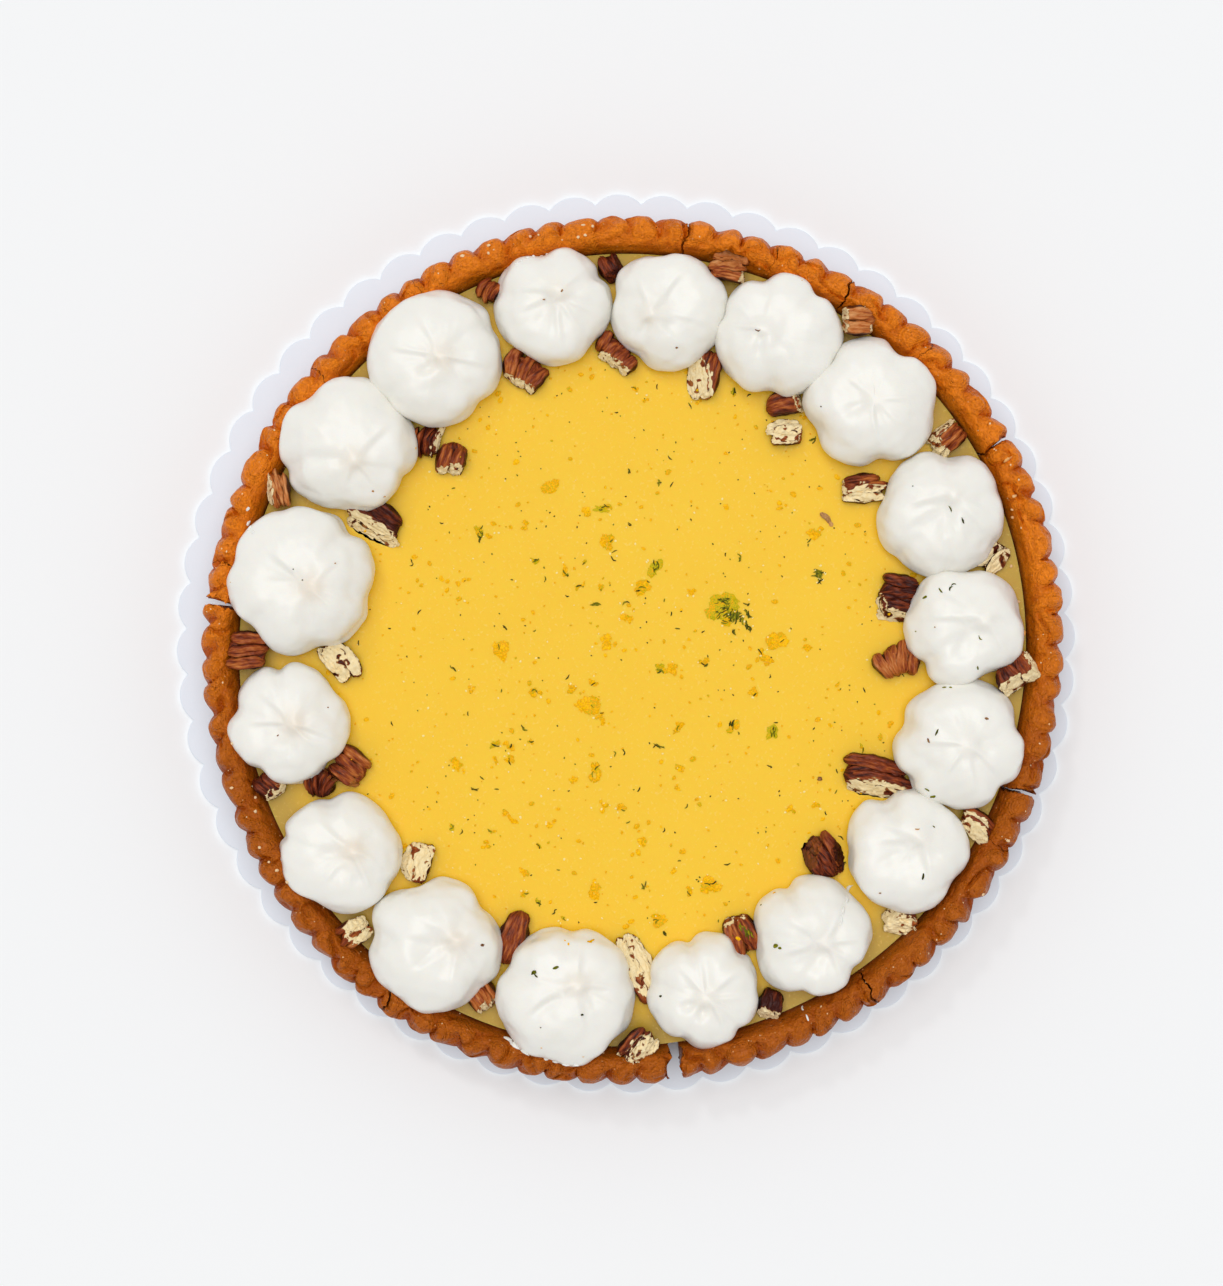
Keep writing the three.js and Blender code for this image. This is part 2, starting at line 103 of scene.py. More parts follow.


# %% [markdown]
# ## Finishing a piece
#
# Each piece is shaped as a bmesh. To become an object of the frame it needs outward
# faces, soft shading with its real edges kept sharp, its place inside its mesh, and the
# frame's own words: the body it rides on and the solid that it replaces. One function
# does this for every piece, so that none is forgotten.

# %% Turn a bmesh into a piece
def finish_piece(form, name, materials, replaced=(), middle=TART_MIDDLE, crease=45.0):
    bmesh.ops.recalc_face_normals(form, faces=form.faces)
    for edge in form.edges:
        edge.smooth = len(edge.link_faces) == 2 and edge.calc_face_angle() < math.radians(crease)
    for face in form.faces:
        face.smooth = True
    bmesh.ops.translate(form, vec=middle, verts=form.verts)
    bmesh.ops.scale(form, vec=(MM, MM, MM), verts=form.verts)
    mesh = bpy.data.meshes.new(name)
    form.to_mesh(mesh)
    form.free()
    for material in materials:
        mesh.materials.append(material)
    piece = bpy.data.objects.new(name, mesh)
    bpy.context.scene.collection.objects.link(piece)
    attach(piece, "root")
    if replaced:
        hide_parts(*replaced)
    print(f"{name}: {sum(len(p.vertices) - 2 for p in mesh.polygons)} triangles")
    return piece


# %% [markdown]
# ## Helpers for materials
#
# A material is a small tree of nodes that ends in the Principled shader. Colours are
# picked as sRGB hex values, the way a screen shows them, and one function turns them
# into the linear values that the shader wants. One more function adds any node with its
# settings, its links and, for a ramp, its colours. What is alike all over a surface, such
# as its roughness, goes straight onto the shader. Sizes of patterns are given in
# millimetres and turned into the scale of a noise that reads object coordinates, which
# are metres.

# %% Colours and nodes
MIX_FACTOR, MIX_A, MIX_B, MIX_RESULT = 0, 6, 7, 2  # sockets of a colour mix


def linear(hex_colour):
    channels = [int(hex_colour[i:i + 2], 16) / 255.0 for i in (0, 2, 4)]
    return tuple(
        c / 12.92 if c <= 0.04045 else ((c + 0.055) / 1.055) ** 2.4 for c in channels
    ) + (1.0,)


def lumps_of(size_mm):
    """The noise scale whose lumps are about this wide."""
    return 1.0 / (size_mm * MM)


def add_node(tree, kind, inputs=None, stops=(), **settings):
    """A node with its settings, the values or links of its inputs, and a ramp's colour stops."""
    node = tree.nodes.new(kind)
    for setting, value in settings.items():
        setattr(node, setting, value)
    for socket, value in (inputs or {}).items():
        if isinstance(value, bpy.types.NodeSocket):
            tree.links.new(value, node.inputs[socket])
        else:
            node.inputs[socket].default_value = value
    for position, _ in stops[1:-1]:
        node.color_ramp.elements.new(position)
    for number, (position, colour) in enumerate(stops):
        node.color_ramp.elements[number].position = position
        node.color_ramp.elements[number].color = linear(colour)
    return node


def start_material(name, values):
    """A new material, its shader with these values, and the coordinates that patterns read."""
    material = bpy.data.materials.new(name)
    material.use_nodes = True
    tree = material.node_tree
    tree.nodes.clear()
    shader = add_node(tree, "ShaderNodeBsdfPrincipled", values)
    add_node(tree, "ShaderNodeOutputMaterial", {"Surface": shader.outputs["BSDF"]})
    where = add_node(tree, "ShaderNodeTexCoord").outputs["Object"]
    return material, tree, shader, where


# %% [markdown]
# ## The camera
#
# The pie is looked at from straight above, from about arm's length over the table. A
# long lens from there keeps the sides of the crust out of sight and the circle round.

# %% Look straight down
CAMERA_HEIGHT = 1100.0
CAMERA_ASIDE = Vector((-4.82, 0.17, 0.0))
LENS = 92.06

camera_data = bpy.data.cameras.new("camera")
camera_data.lens = LENS
camera = bpy.data.objects.new("camera", camera_data)
camera.location = (CAMERA_ASIDE + Vector((0.0, 0.0, CAMERA_HEIGHT))) * MM
bpy.context.scene.collection.objects.link(camera)
bpy.context.scene.camera = camera
print("camera height:", CAMERA_HEIGHT, "mm")

# %% [markdown]
# ## The light
#
# Food is often lit by big softboxes: shadows stay short and soft, and glossy food shows
# broad highlights. A small lamp close by would light the middle more than the edges. A
# sun lamp lights everything alike, and a wide disc makes its shadows as soft as those of
# a softbox as large as the table. It stands a little to the far side of the zenith, so
# that the near side of every bump turns a little darker. A white sky fills the rest.
#
# So wide a lamp leaves no sparkle on wet sugar and egg wash. A second lamp, weak and as
# small as a distant window, draws the small sharp glints. The standard view transform
# keeps whites white, which a high-key picture needs.

# %% Sky, lamps and table
SKY_STRENGTH = 0.51
LAMPS = [  # name, strength, degrees across as seen from the pie, tilt from the zenith, bearing
    ["softbox", 1.35, 42.0, 7.5, 105.0],
    ["window", 0.18, 5.0, 36.0, 120.0],
]
TABLE_WIDTH = 40000.0  # so wide that a low view still ends on it, not on the grey sky
TABLE_COLOUR = "F7F8F9"

bpy.context.scene.view_settings.view_transform = "Standard"
sky = bpy.data.worlds.new("sky")
sky.use_nodes = True
sky.node_tree.nodes["Background"].inputs["Color"].default_value = linear("FFFFFF")
sky.node_tree.nodes["Background"].inputs["Strength"].default_value = SKY_STRENGTH
bpy.context.scene.world = sky

for name, strength, disc, tilt, bearing in LAMPS:
    lamp_data = bpy.data.lights.new(name, "SUN")
    lamp_data.angle = math.radians(disc)
    lamp_data.energy = strength
    lamp = bpy.data.objects.new(name, lamp_data)
    towards_lamp = place_at(bearing, math.tan(math.radians(tilt)), 1.0)
    lamp.rotation_euler = towards_lamp.to_track_quat("Z", "Y").to_euler()
    bpy.context.scene.collection.objects.link(lamp)

table_finish, *_ = start_material("matt_table_top", {"Base Color": linear(TABLE_COLOUR), "Roughness": 0.9})
table_form = bmesh.new()
bmesh.ops.create_grid(table_form, x_segments=1, y_segments=1, size=TABLE_WIDTH * MM / 2)
table_mesh = bpy.data.meshes.new("table")
table_form.to_mesh(table_mesh)
table_form.free()
table_mesh.materials.append(table_finish)
table = bpy.data.objects.new("table", table_mesh)
bpy.context.scene.collection.objects.link(table)
print("lamps:", len(LAMPS), "sky:", SKY_STRENGTH)

# %% [markdown]
# ## The scalloped card
#
# The card is greyboard with a smooth white coating, die-cut into sixty small arcs. Its
# outline could be drawn point by point, but every scallop is the same arc. So one arc is
# spun from a single corner, copied round the card, filled and raised to the board's
# thickness. The cut presses the edge a little round, which catches a thin bright line.

# %% Card: one arc, sixty times
CARD_RADIUS = 150.0
CARD_THICKNESS = 2.0
SCALLOPS = 60
SCALLOP_DEPTH = 3.3
FIRST_SCALLOP = 1.0  # the bearing of its middle
ARC_STEPS = 10
CARD_EDGE = 0.35  # the pressed, rounded edge


def only(kind, geometry):
    return [item for item in geometry if isinstance(item, kind)]


def card_form():
    half_pitch = math.pi / SCALLOPS
    valley = CARD_RADIUS - SCALLOP_DEPTH
    half_chord = valley * math.sin(half_pitch)
    height = CARD_RADIUS - valley * math.cos(half_pitch)
    arc_radius = (height ** 2 + half_chord ** 2) / (2 * height)
    half_angle = math.atan2(half_chord, arc_radius - height)
    form = bmesh.new()
    corner = form.verts.new(place_at(-math.degrees(half_pitch), valley))
    bmesh.ops.spin(
        form, geom=[corner], cent=(CARD_RADIUS - arc_radius, 0, 0), axis=(0, 0, 1),
        angle=2 * half_angle, steps=ARC_STEPS,
    )
    arc = form.verts[:] + form.edges[:]
    for scallop in range(1, SCALLOPS):
        copied = only(bmesh.types.BMVert, bmesh.ops.duplicate(form, geom=arc)["geom"])
        bmesh.ops.rotate(form, cent=(0, 0, 0), matrix=turn_by(360 / SCALLOPS * scallop), verts=copied)
    bmesh.ops.remove_doubles(form, verts=form.verts, dist=0.05)
    bmesh.ops.rotate(form, cent=(0, 0, 0), matrix=turn_by(FIRST_SCALLOP), verts=form.verts)
    underside = bmesh.ops.contextual_create(form, geom=form.edges)["faces"]
    top = bmesh.ops.extrude_face_region(form, geom=underside)["geom"]
    bmesh.ops.translate(form, vec=(0, 0, CARD_THICKNESS), verts=only(bmesh.types.BMVert, top))
    level = [edge for edge in form.edges if abs(edge.verts[0].co.z - edge.verts[1].co.z) < CARD_EDGE]
    bmesh.ops.bevel(
        form, geom=level, affect="EDGES", offset=CARD_EDGE, segments=3, profile=0.5, material=-1,
    )
    return form


# %% [markdown]
# Coated board is nearly matt, a cool white, with a faint unevenness of the pulp under the
# coating that only shows in how the light lies on it.

# %% Card: coated greyboard
def coated_board():
    material, tree, shader, where = start_material("coated_greyboard", {"Roughness": 0.55, "IOR": 1.5})
    pulp = add_node(
        tree, "ShaderNodeTexNoise", {"Vector": where, "Scale": lumps_of(9.0), "Detail": 4.0},
    ).outputs["Fac"]
    tint = add_node(
        tree, "ShaderNodeMix",
        {MIX_FACTOR: pulp, MIX_A: linear("EAF1FB"), MIX_B: linear("EEF5FE")}, data_type="RGBA",
    ).outputs[MIX_RESULT]
    tree.links.new(tint, shader.inputs["Base Color"])
    fibre = add_node(
        tree, "ShaderNodeTexNoise", {"Vector": where, "Scale": lumps_of(0.6), "Detail": 3.0},
    ).outputs["Fac"]
    relief = add_node(
        tree, "ShaderNodeBump", {"Height": fibre, "Strength": 0.12, "Distance": 0.2 * MM},
    ).outputs["Normal"]
    tree.links.new(relief, shader.inputs["Normal"])
    return material


finish_piece(card_form(), "card_board", [coated_board()], ["card"], middle=Vector())

# %% [markdown]
# ## The shortcrust shell: its section
#
# Shortcrust pressed into a fluted tin has a plain inner wall, a fluted outer one and a
# thick rounded rim where the spare pastry was cut off. Seen from above, the rim has
# cracked in many places, a few of them right through.
#
# A single lathe could make the whole ring, and cutting it afterwards would leave smooth
# saw cuts. Pastry tears instead. So the ring is spun in stretches, from one crack to the
# next, and both ends that meet in a crack get the same ragged line. The section is drawn
# with few corners, its rim is rounded by a bevel, and long sides are divided so that
# there is enough mesh to shape.

# %% Shell: its sizes
SHELL_BOTTOM = 2.3
BASE_RADIUS = 136.0
BEAD_RADIUS, BEAD_HEIGHT = 141.0, 27.0
CROWN_RADIUS, CROWN_HEIGHT = 137.0, 31.0
SHOULDER_RADIUS, SHOULDER_HEIGHT = 132.0, 30.0
WALL_RADIUS = 129.0
FLOOR_RADIUS, FLOOR_TOP = 126.5, 5.7
CURD_TOP = 24.0
OUTLINE_WAVES = [[2, 1.0, 60], [3, 0.6, 0], [5, 0.4, 30]]
FLOOR_LAP = 6.0  # how far the wall's foot runs in under the curd
CROWN_PROUD = 0.6  # the rim's corners stand proud of it, because rounding lowers them
SHOULDER_OUT = 0.4
ROUNDING = 2.2
WALL_STEP = 1.3  # spacing of the corners up the outer wall
INSIDE_STEP = 2.6  # down the inner one
RIM_STEP = 0.55  # and over the rim


def outline_growth(angle):
    """How much larger than a true circle the hand-made shell is at an angle."""
    return 1.0 + wave_sum(OUTLINE_WAVES, angle) / BEAD_RADIUS


def wall_section():
    """The wall's section as a closed loop of edges in the plane of X and Z."""
    corners = [
        (FLOOR_RADIUS - FLOOR_LAP, SHELL_BOTTOM),
        (BASE_RADIUS, SHELL_BOTTOM),
        (BEAD_RADIUS, BEAD_HEIGHT),
        (CROWN_RADIUS + CROWN_PROUD, CROWN_HEIGHT + CROWN_PROUD),
        (SHOULDER_RADIUS + SHOULDER_OUT, SHOULDER_HEIGHT + CROWN_PROUD),
        (WALL_RADIUS, CURD_TOP),
        (FLOOR_RADIUS, FLOOR_TOP),
        (FLOOR_RADIUS - FLOOR_LAP, FLOOR_TOP),
    ]
    form = bmesh.new()
    loop = [form.verts.new((x, 0, z)) for x, z in corners]
    form.faces.new(loop)
    rim = [vert for vert in form.verts if vert.co.z > CURD_TOP + 1]
    bmesh.ops.bevel(
        form, geom=rim, affect="VERTICES", offset=ROUNDING, segments=4, profile=0.5, material=-1,
    )
    bmesh.ops.delete(form, geom=form.faces[:], context="FACES_ONLY")
    for edge in form.edges[:]:
        middle = (edge.verts[0].co + edge.verts[1].co) / 2
        if middle.x < FLOOR_RADIUS or middle.z < SHELL_BOTTOM + 1:
            continue
        step = RIM_STEP if middle.z > CURD_TOP else INSIDE_STEP
        if middle.x > BASE_RADIUS and middle.z < BEAD_HEIGHT:
            step = WALL_STEP
        cuts = round(edge.calc_length() / step) - 1
        if cuts > 0:
            bmesh.ops.subdivide_edges(form, edges=[edge], cuts=cuts)
    return form


section = wall_section()
print("corners in the section:", len(section.verts))
section.free()

# %% [markdown]
# ## The shell: flutes, lumps and cracks
#
# Each flute bulges out like a petal, and a sharp valley parts it from the next. Over the
# crown the petals swell into soft cushions that fade towards the curd. No two are alike,
# because the dough slumped while it baked, so their swing and their place drift.
#
# A crack pushes the pastry on both sides apart. Its width is the air between them, its
# ragged line is a noise that both sides share, and only the last few millimetres of each
# side follow it.

# %% Shell: shape the rim
CRACKS = [  # bearing, width at the inner and outer side, sideways jog, lowest height
  [-84, 3.4, 5.6, 0.8, 0],
  [-55, 0.6, 0.9, 0.5, 24],
  [-28, 0.15, 0.3, 0.4, 26],
  [-20, 0.9, 2.2, -0.7, 0],
  [29.5, 0.8, 1.6, -0.5, 0],
  [45.5, 0.15, 0.25, 0.5, 27],
  [59, 0.6, 0.9, -0.5, 25],
  [70, 0.1, 0.3, 0.3, 27],
  [82.5, 0.7, 1.0, 0.6, 22],
  [120.5, 0.12, 0.2, -0.5, 28],
  [138.5, 0.3, 0.2, 0.5, 27],
  [168, 0.12, 0.3, 0.5, 27],
  [173.5, 1.4, 3.0, 0.6, 0],
  [235, 1.2, 0.8, -0.9, 25],
]
CRACK_FADE = 6.0  # how far from a crack the pastry is pushed aside
RAGGED = [[0.75, 1.7, 0], [0.75, 0.8, 3]]  # a crack's line: swing, size and seed of its noise
HAIRLINE = 0.04  # what is left of a crack below its lowest height
FLUTES = 88
FLUTE_SWING = 2.7
FIRST_FLUTE = -1.1
FLUTE_LEAN = 0.24  # how far every flute leans the same way, as the dough was turned in its tin
FLUTE_SLANT = 0.08  # the most that a fold leans aside, in flutes per millimetre inwards
LEAN_LUCK, MIDDLE_LUCK, LENGTH_LUCK, FULLNESS_LUCK = 0.3, 0.9, 0.2, 0.32  # how unlike flutes are
FULL_SWING = 1.6  # noise hardly passes 0.6, and this stretches it to about 1
OUTER_ROW = [1, CROWN_RADIUS - 0.2, 6.2]  # seed, middle and half length of the outer cushions
INNER_ROW = [11, SHOULDER_RADIUS + 1.6, 3.9]  # and of the inner ones, which lie between them
INNER_CUSHION = 0.75  # how tall the inner row of cushions is beside the outer one
CUSHION = 2.3  # how far a flute's cushion rises above the valley beside it
RIM_FOOT = BEAD_HEIGHT - 3  # where the rim's own shapes begin
RIM_WAVES = [[7, 0.5, 12], [19, 0.5, 5]]
RIM_LUMPS = [[0.85, 5.2, 5], [0.42, 2.3, 6], [0.12, 1.0, 7]]
SIDE_LUMPS = [[0.6, 7.0, 1]]
WALL_LUMPS = [[0.25, 2.2, 2]]
FOLD_DEPTH = 0.9  # of the thin folds that wander over the rim
FOLD_THINNESS = 6.5
FOLD_IN_CUSHION = 0.4  # how much of a cushion a fold takes away
STEPS_PER_FLUTE = 14
CRUST_LOOKS = ("cushion_light", "from_top", "inner", "crumb", "along_rim", "across_rim")


def crack_edge(crack, radius, height):
    """Half the crack's width, and how far aside its ragged middle line lies."""
    bearing, inner, outer, jog, lowest = crack
    across = min(max((radius - WALL_RADIUS) / (BEAD_RADIUS - WALL_RADIUS), 0.0), 1.0)
    width = blend(inner, outer, across)
    if lowest:
        width = blend(HAIRLINE, width, rise(lowest - 1, lowest + 4, height))
    spot = Vector((radius, bearing, height))
    aside = rough_sum(spot, RAGGED, bearing) + jog * math.sin(2 * math.pi * across)
    return width / 2, aside


def luck_of(number, seed):
    """The same number from -1 to 1 each time for one flute, read from a far stretch of noise."""
    return FULL_SWING * rough(Vector((3.71 * number, 5.3 * seed, 0.37 * number)), 1.0)


def petal(turn, radius, seed, middle, length):
    """A flute's swell across its width, the cushion that lies on it, and how full it is."""
    number = round(turn)
    across = 2 * (turn - number)
    across += (FLUTE_LEAN + LEAN_LUCK * luck_of(number, seed)) * (1 - across * across)
    swell = math.sqrt(max(1 - 0.97 * across * across, 0.0))
    length *= 1 + LENGTH_LUCK * luck_of(number, seed + 2)
    along = (radius - middle - MIDDLE_LUCK * luck_of(number, seed + 1)) / length
    cushion = math.sqrt(max(1 - 0.95 * across * across - along * along, 0.0))
    return swell, cushion, 1 + FULLNESS_LUCK * luck_of(number, seed + 3)


def shape_pastry(radius, angle, height):
    """The shaped radius and height of a point, and how much of a cushion there is."""
    spot = place_at(math.degrees(angle), radius, height)
    turn = FLUTES * (angle - math.radians(FIRST_FLUTE)) / (2 * math.pi) + 0.25 * rough(spot, 7.0, 9)
    turn += FLUTE_SLANT * FULL_SWING * rough(spot, 25.0, 12) * (BEAD_RADIUS - radius)
    outside = rise(SHOULDER_RADIUS, CROWN_RADIUS + 1, radius)
    swell, outer, fullness = petal(turn, radius, *OUTER_ROW)
    _, inner, plump = petal(turn + 0.5, radius, *INNER_ROW)
    mean_swell = 0.76  # taken off, so that the flutes leave the shell its size
    new_radius = radius + outside * FLUTE_SWING * fullness * (swell - mean_swell)
    new_radius += rough_sum(spot, SIDE_LUMPS) * outside + rough_sum(spot, WALL_LUMPS)
    cushion = max(outer * fullness, INNER_CUSHION * inner * plump)
    fold = max(1 - FOLD_THINNESS * abs(rough(spot, 8.0, 21)), 0.0)
    fold *= rise(-0.2, 0.3, rough(spot, 11.0, 22))
    cushion = max(cushion - FOLD_IN_CUSHION * fold, 0.0)
    if height > RIM_FOOT:
        raised = wave_sum(RIM_WAVES, angle) + CUSHION * (cushion - 0.5)
        raised += rough_sum(spot, RIM_LUMPS) - FOLD_DEPTH * fold
        height += rise(RIM_FOOT, CROWN_HEIGHT - 1, height) * raised
    return new_radius * outline_growth(angle), height, cushion


def spin_section(span):
    """The section spun through an angle, and its two torn end faces."""
    form = wall_section()
    loop = form.verts[:] + form.edges[:]
    near_cap = bmesh.ops.contextual_create(form, geom=form.edges[:])["faces"]
    last = bmesh.ops.spin(
        form, geom=loop, cent=(0, 0, 0), axis=(0, 0, 1), angle=span,
        steps=round(STEPS_PER_FLUTE * FLUTES * span / (2 * math.pi)),
    )["geom_last"]
    far_cap = bmesh.ops.contextual_create(form, geom=only(bmesh.types.BMEdge, last))["faces"]
    return form, near_cap + far_cap


def crust_stretch(start, end):
    """The rim from one crack to the next."""
    span = math.radians(end[0] - start[0])
    form, torn_faces = spin_section(span)
    torn = {vert for face in torn_faces for vert in face.verts}
    cushion_light, from_top, inner, crumb, along_rim, across_rim = [
        form.verts.layers.float.new(look) for look in CRUST_LOOKS
    ]
    for vert in form.verts:
        radius = math.hypot(vert.co.x, vert.co.y)
        height = vert.co.z
        turned = math.atan2(vert.co.y, vert.co.x)
        angle = turned + math.radians(start[0])
        new_radius, new_height, cushion = shape_pastry(radius, angle, height)
        shift = 0.0
        for crack, side, away in ((start, 1, turned * radius), (end, -1, (span - turned) * radius)):
            if away < CRACK_FADE:
                half, aside = crack_edge(crack, radius, height)
                shift += (side * half + aside) * (1 - away / CRACK_FADE) ** 2
        angle += shift / radius
        vert.co = (new_radius * math.cos(angle), new_radius * math.sin(angle), new_height)
        # painted light on the cushions and painted shade in the creases between them
        vert[cushion_light] = cushion * rise(BEAD_HEIGHT - 6, BEAD_HEIGHT + 3, height)
        vert[from_top] = math.sqrt(max(1 - cushion * cushion, 0.0))
        vert[inner] = 1 - rise(WALL_RADIUS - 0.3, SHOULDER_RADIUS + 1.5, radius)
        vert[along_rim] = angle * CROWN_RADIUS
        vert[across_rim] = radius + height
        vert[crumb] = 1.0 if vert in torn else 0.0
    return form


def shell_floor(form):
    """The thin floor that the wall stands on, hidden under the curd."""
    reach = FLOOR_RADIUS - FLOOR_LAP + 1  # it laps the wall's foot a little
    made = bmesh.ops.create_circle(form, cap_ends=True, radius=reach, segments=64)["verts"]
    bmesh.ops.translate(form, vec=(0, 0, SHELL_BOTTOM), verts=made)
    raised = bmesh.ops.extrude_face_region(form, geom=[made[0].link_faces[0]])["geom"]
    top = only(bmesh.types.BMVert, raised)
    bmesh.ops.translate(form, vec=(0, 0, FLOOR_TOP - SHELL_BOTTOM), verts=top)


def take_in(form, part):
    """Add a shaped part to a form, by way of a mesh that is thrown away."""
    carrier = bpy.data.meshes.new("carrier")
    part.to_mesh(carrier)
    part.free()
    form.from_mesh(carrier)
    bpy.data.meshes.remove(carrier)


def shell_form():
    form = bmesh.new()
    first_again = [CRACKS[0][0] + 360] + CRACKS[0][1:]
    for start, end in zip(CRACKS, CRACKS[1:] + [first_again]):
        take_in(form, crust_stretch(start, end))
    shell_floor(form)
    return form


# %% [markdown]
# Baked, egg-washed shortcrust changes its brown over every millimetre. The cushions that
# stand up are a bright orange-brown, as painted light, and the creases between them are
# darker, as painted shade. The inner wall is smooth, ending in a dark line at the curd
# that is part caramel and part painted shade. The egg wash dried in fine wrinkles along
# the rim and in rings round each cushion, like contour lines. Fat and flour leave a grain
# like coarse skin, and small pale specks of flour stay on top. The side nearer to the
# eater is darker, partly from baking and partly as painted shade, and the foot of the
# wall gets painted shade.

# %% Shell: egg-washed shortcrust
def egg_washed_shortcrust():
    material, tree, shader, where = start_material(
        "egg_washed_shortcrust", {"IOR": 1.45, "Specular IOR Level": 0.16},
    )
    cushion, from_top, inner, crumb, along, across = [
        add_node(tree, "ShaderNodeAttribute", attribute_name=look).outputs["Fac"] for look in CRUST_LOOKS
    ]
    place = add_node(tree, "ShaderNodeSeparateXYZ", {"Vector": where}).outputs
    blotch = add_node(
        tree, "ShaderNodeTexNoise",
        {"Vector": where, "Scale": lumps_of(5.0), "Detail": 4.0, "Roughness": 0.6},
    ).outputs["Fac"]
    grain, flour = [
        add_node(tree, "ShaderNodeTexVoronoi", {"Vector": where, "Scale": lumps_of(size)}).outputs["Distance"]
        for size in (0.85, 3.2)
    ]
    dust = add_node(
        tree, "ShaderNodeTexNoise", {"Vector": where, "Scale": lumps_of(0.9), "Detail": 2.0},
    ).outputs["Fac"]
    rim_place = add_node(tree, "ShaderNodeCombineXYZ", {"X": along, "Y": across})
    stretched = add_node(
        tree, "ShaderNodeMapping", {"Vector": rim_place.outputs[0], "Scale": (1 / 5.0, 1 / 1.3, 1.0)},
    ).outputs[0]
    wrinkle_noise = add_node(
        tree, "ShaderNodeTexNoise", {"Vector": stretched, "Scale": 1.0, "Detail": 2.0, "Distortion": 0.8},
    ).outputs["Fac"]
    from_middle = add_node(
        tree, "ShaderNodeMath", {0: wrinkle_noise, 1: 0.5}, operation="SUBTRACT",
    ).outputs[0]
    line = add_node(tree, "ShaderNodeMath", {0: from_middle}, operation="ABSOLUTE").outputs[0]
    wrinkle = add_node(
        tree, "ShaderNodeMapRange",
        {"Value": line, "From Min": 0.0, "From Max": 0.035, "To Min": 1.0, "To Max": 0.0},
    ).outputs["Result"]
    strayed = add_node(tree, "ShaderNodeMath", {0: blotch, 1: 12.0}, operation="MULTIPLY").outputs[0]
    turns = add_node(
        tree, "ShaderNodeMath", {0: from_top, 1: 26.0, 2: strayed}, operation="MULTIPLY_ADD",
    ).outputs[0]
    wave = add_node(tree, "ShaderNodeMath", {0: turns}, operation="SINE").outputs[0]
    ringed = add_node(
        tree, "ShaderNodeMapRange", {"Value": wave, "From Min": -1.0, "From Max": 1.0},
    ).outputs["Result"]
    # painted light and shade: cushions lighter, creases darker, plus random blotches of baking
    cushion_light_and_blotch = add_node(tree, "ShaderNodeMath", {0: cushion, 1: blotch}, operation="ADD").outputs[0]
    colour = linear("CA5E08")
    for follows, start, end, share, full_share, brown in (
        (cushion_light_and_blotch, 0.55, 1.25, 0.0, 1.0, "F68818"),  # painted light on the cushions, painted shade in the creases, random blotches
        (ringed, 0.0, 1.0, 0.0, 0.26, "A84A06"),  # rings of dried egg wash
        (grain, 0.25, 0.75, 0.0, 0.26, "9A4206"),
        (wrinkle, 0.0, 1.0, 0.0, 0.16, "8A3A06"),
        (inner, 0.1, 0.75, 0.0, 0.85, "B96506"),  # the smooth inner wall
        (inner, 0.72, 0.98, 0.0, 1.0, "4A1B04"),  # dark line where the wall meets the curd: part caramel, part painted shade
        (place["Y"], -40 * MM, 20 * MM, 0.55, 0.0, "702C06"),  # the near side, away from the lamp: partly baked darker, partly painted shade
        (place["Z"], 15 * MM, 26 * MM, 0.15, 0.0, "7A5230"),  # painted shade at the foot of the wall
        (flour, 0.06, 0.1, 0.5, 0.0, "E9B27A"),
        (crumb, 0.0, 1.0, 0.0, 1.0, "E0A04A"),  # the torn sides of the cracks
    ):
        amount = add_node(
            tree, "ShaderNodeMapRange",
            {"Value": follows, "From Min": start, "From Max": end, "To Min": share, "To Max": full_share},
        ).outputs["Result"]
        colour = add_node(
            tree, "ShaderNodeMix",
            {MIX_FACTOR: amount, MIX_A: colour, MIX_B: linear(brown)}, data_type="RGBA",
        ).outputs[MIX_RESULT]
    tree.links.new(colour, shader.inputs["Base Color"])
    shine = add_node(
        tree, "ShaderNodeMapRange",
        {"Value": dust, "From Min": 0.3, "From Max": 0.7, "To Min": 0.22, "To Max": 0.45},
    ).outputs["Result"]
    tree.links.new(shine, shader.inputs["Roughness"])
    normal = {}
    for height, strength, depth, inverted in (
        (wrinkle, 0.5, 0.4, True), (ringed, 0.6, 0.3, True),
        (blotch, 0.9, 1.8, False), (grain, 0.6, 0.4, True),
    ):
        normal["Normal"] = add_node(
            tree, "ShaderNodeBump",
            {"Height": height, "Strength": strength, "Distance": depth * MM, **normal}, invert=inverted,
        ).outputs["Normal"]
    tree.links.new(normal["Normal"], shader.inputs["Normal"])
    return material


shortcrust = egg_washed_shortcrust()
finish_piece(shell_form(), "shortcrust_shell", [shortcrust], ["crust"])

# %% [markdown]
# ## The lemon curd
#
# Curd sets as a smooth, slightly wavy sheet that creeps a little up the crust. Its body
# is a lathe turned from the section of the space inside the shell. A plain disc would
# have nothing to catch the light, so the surface gets long waves a fraction of a
# millimetre high, and the meniscus at the wall.

# %% Curd: turn the body
CURD_WAVE = 0.22
CURD_MENISCUS = 0.5
CURD_STEPS = 300
CURD_RINGS = 50


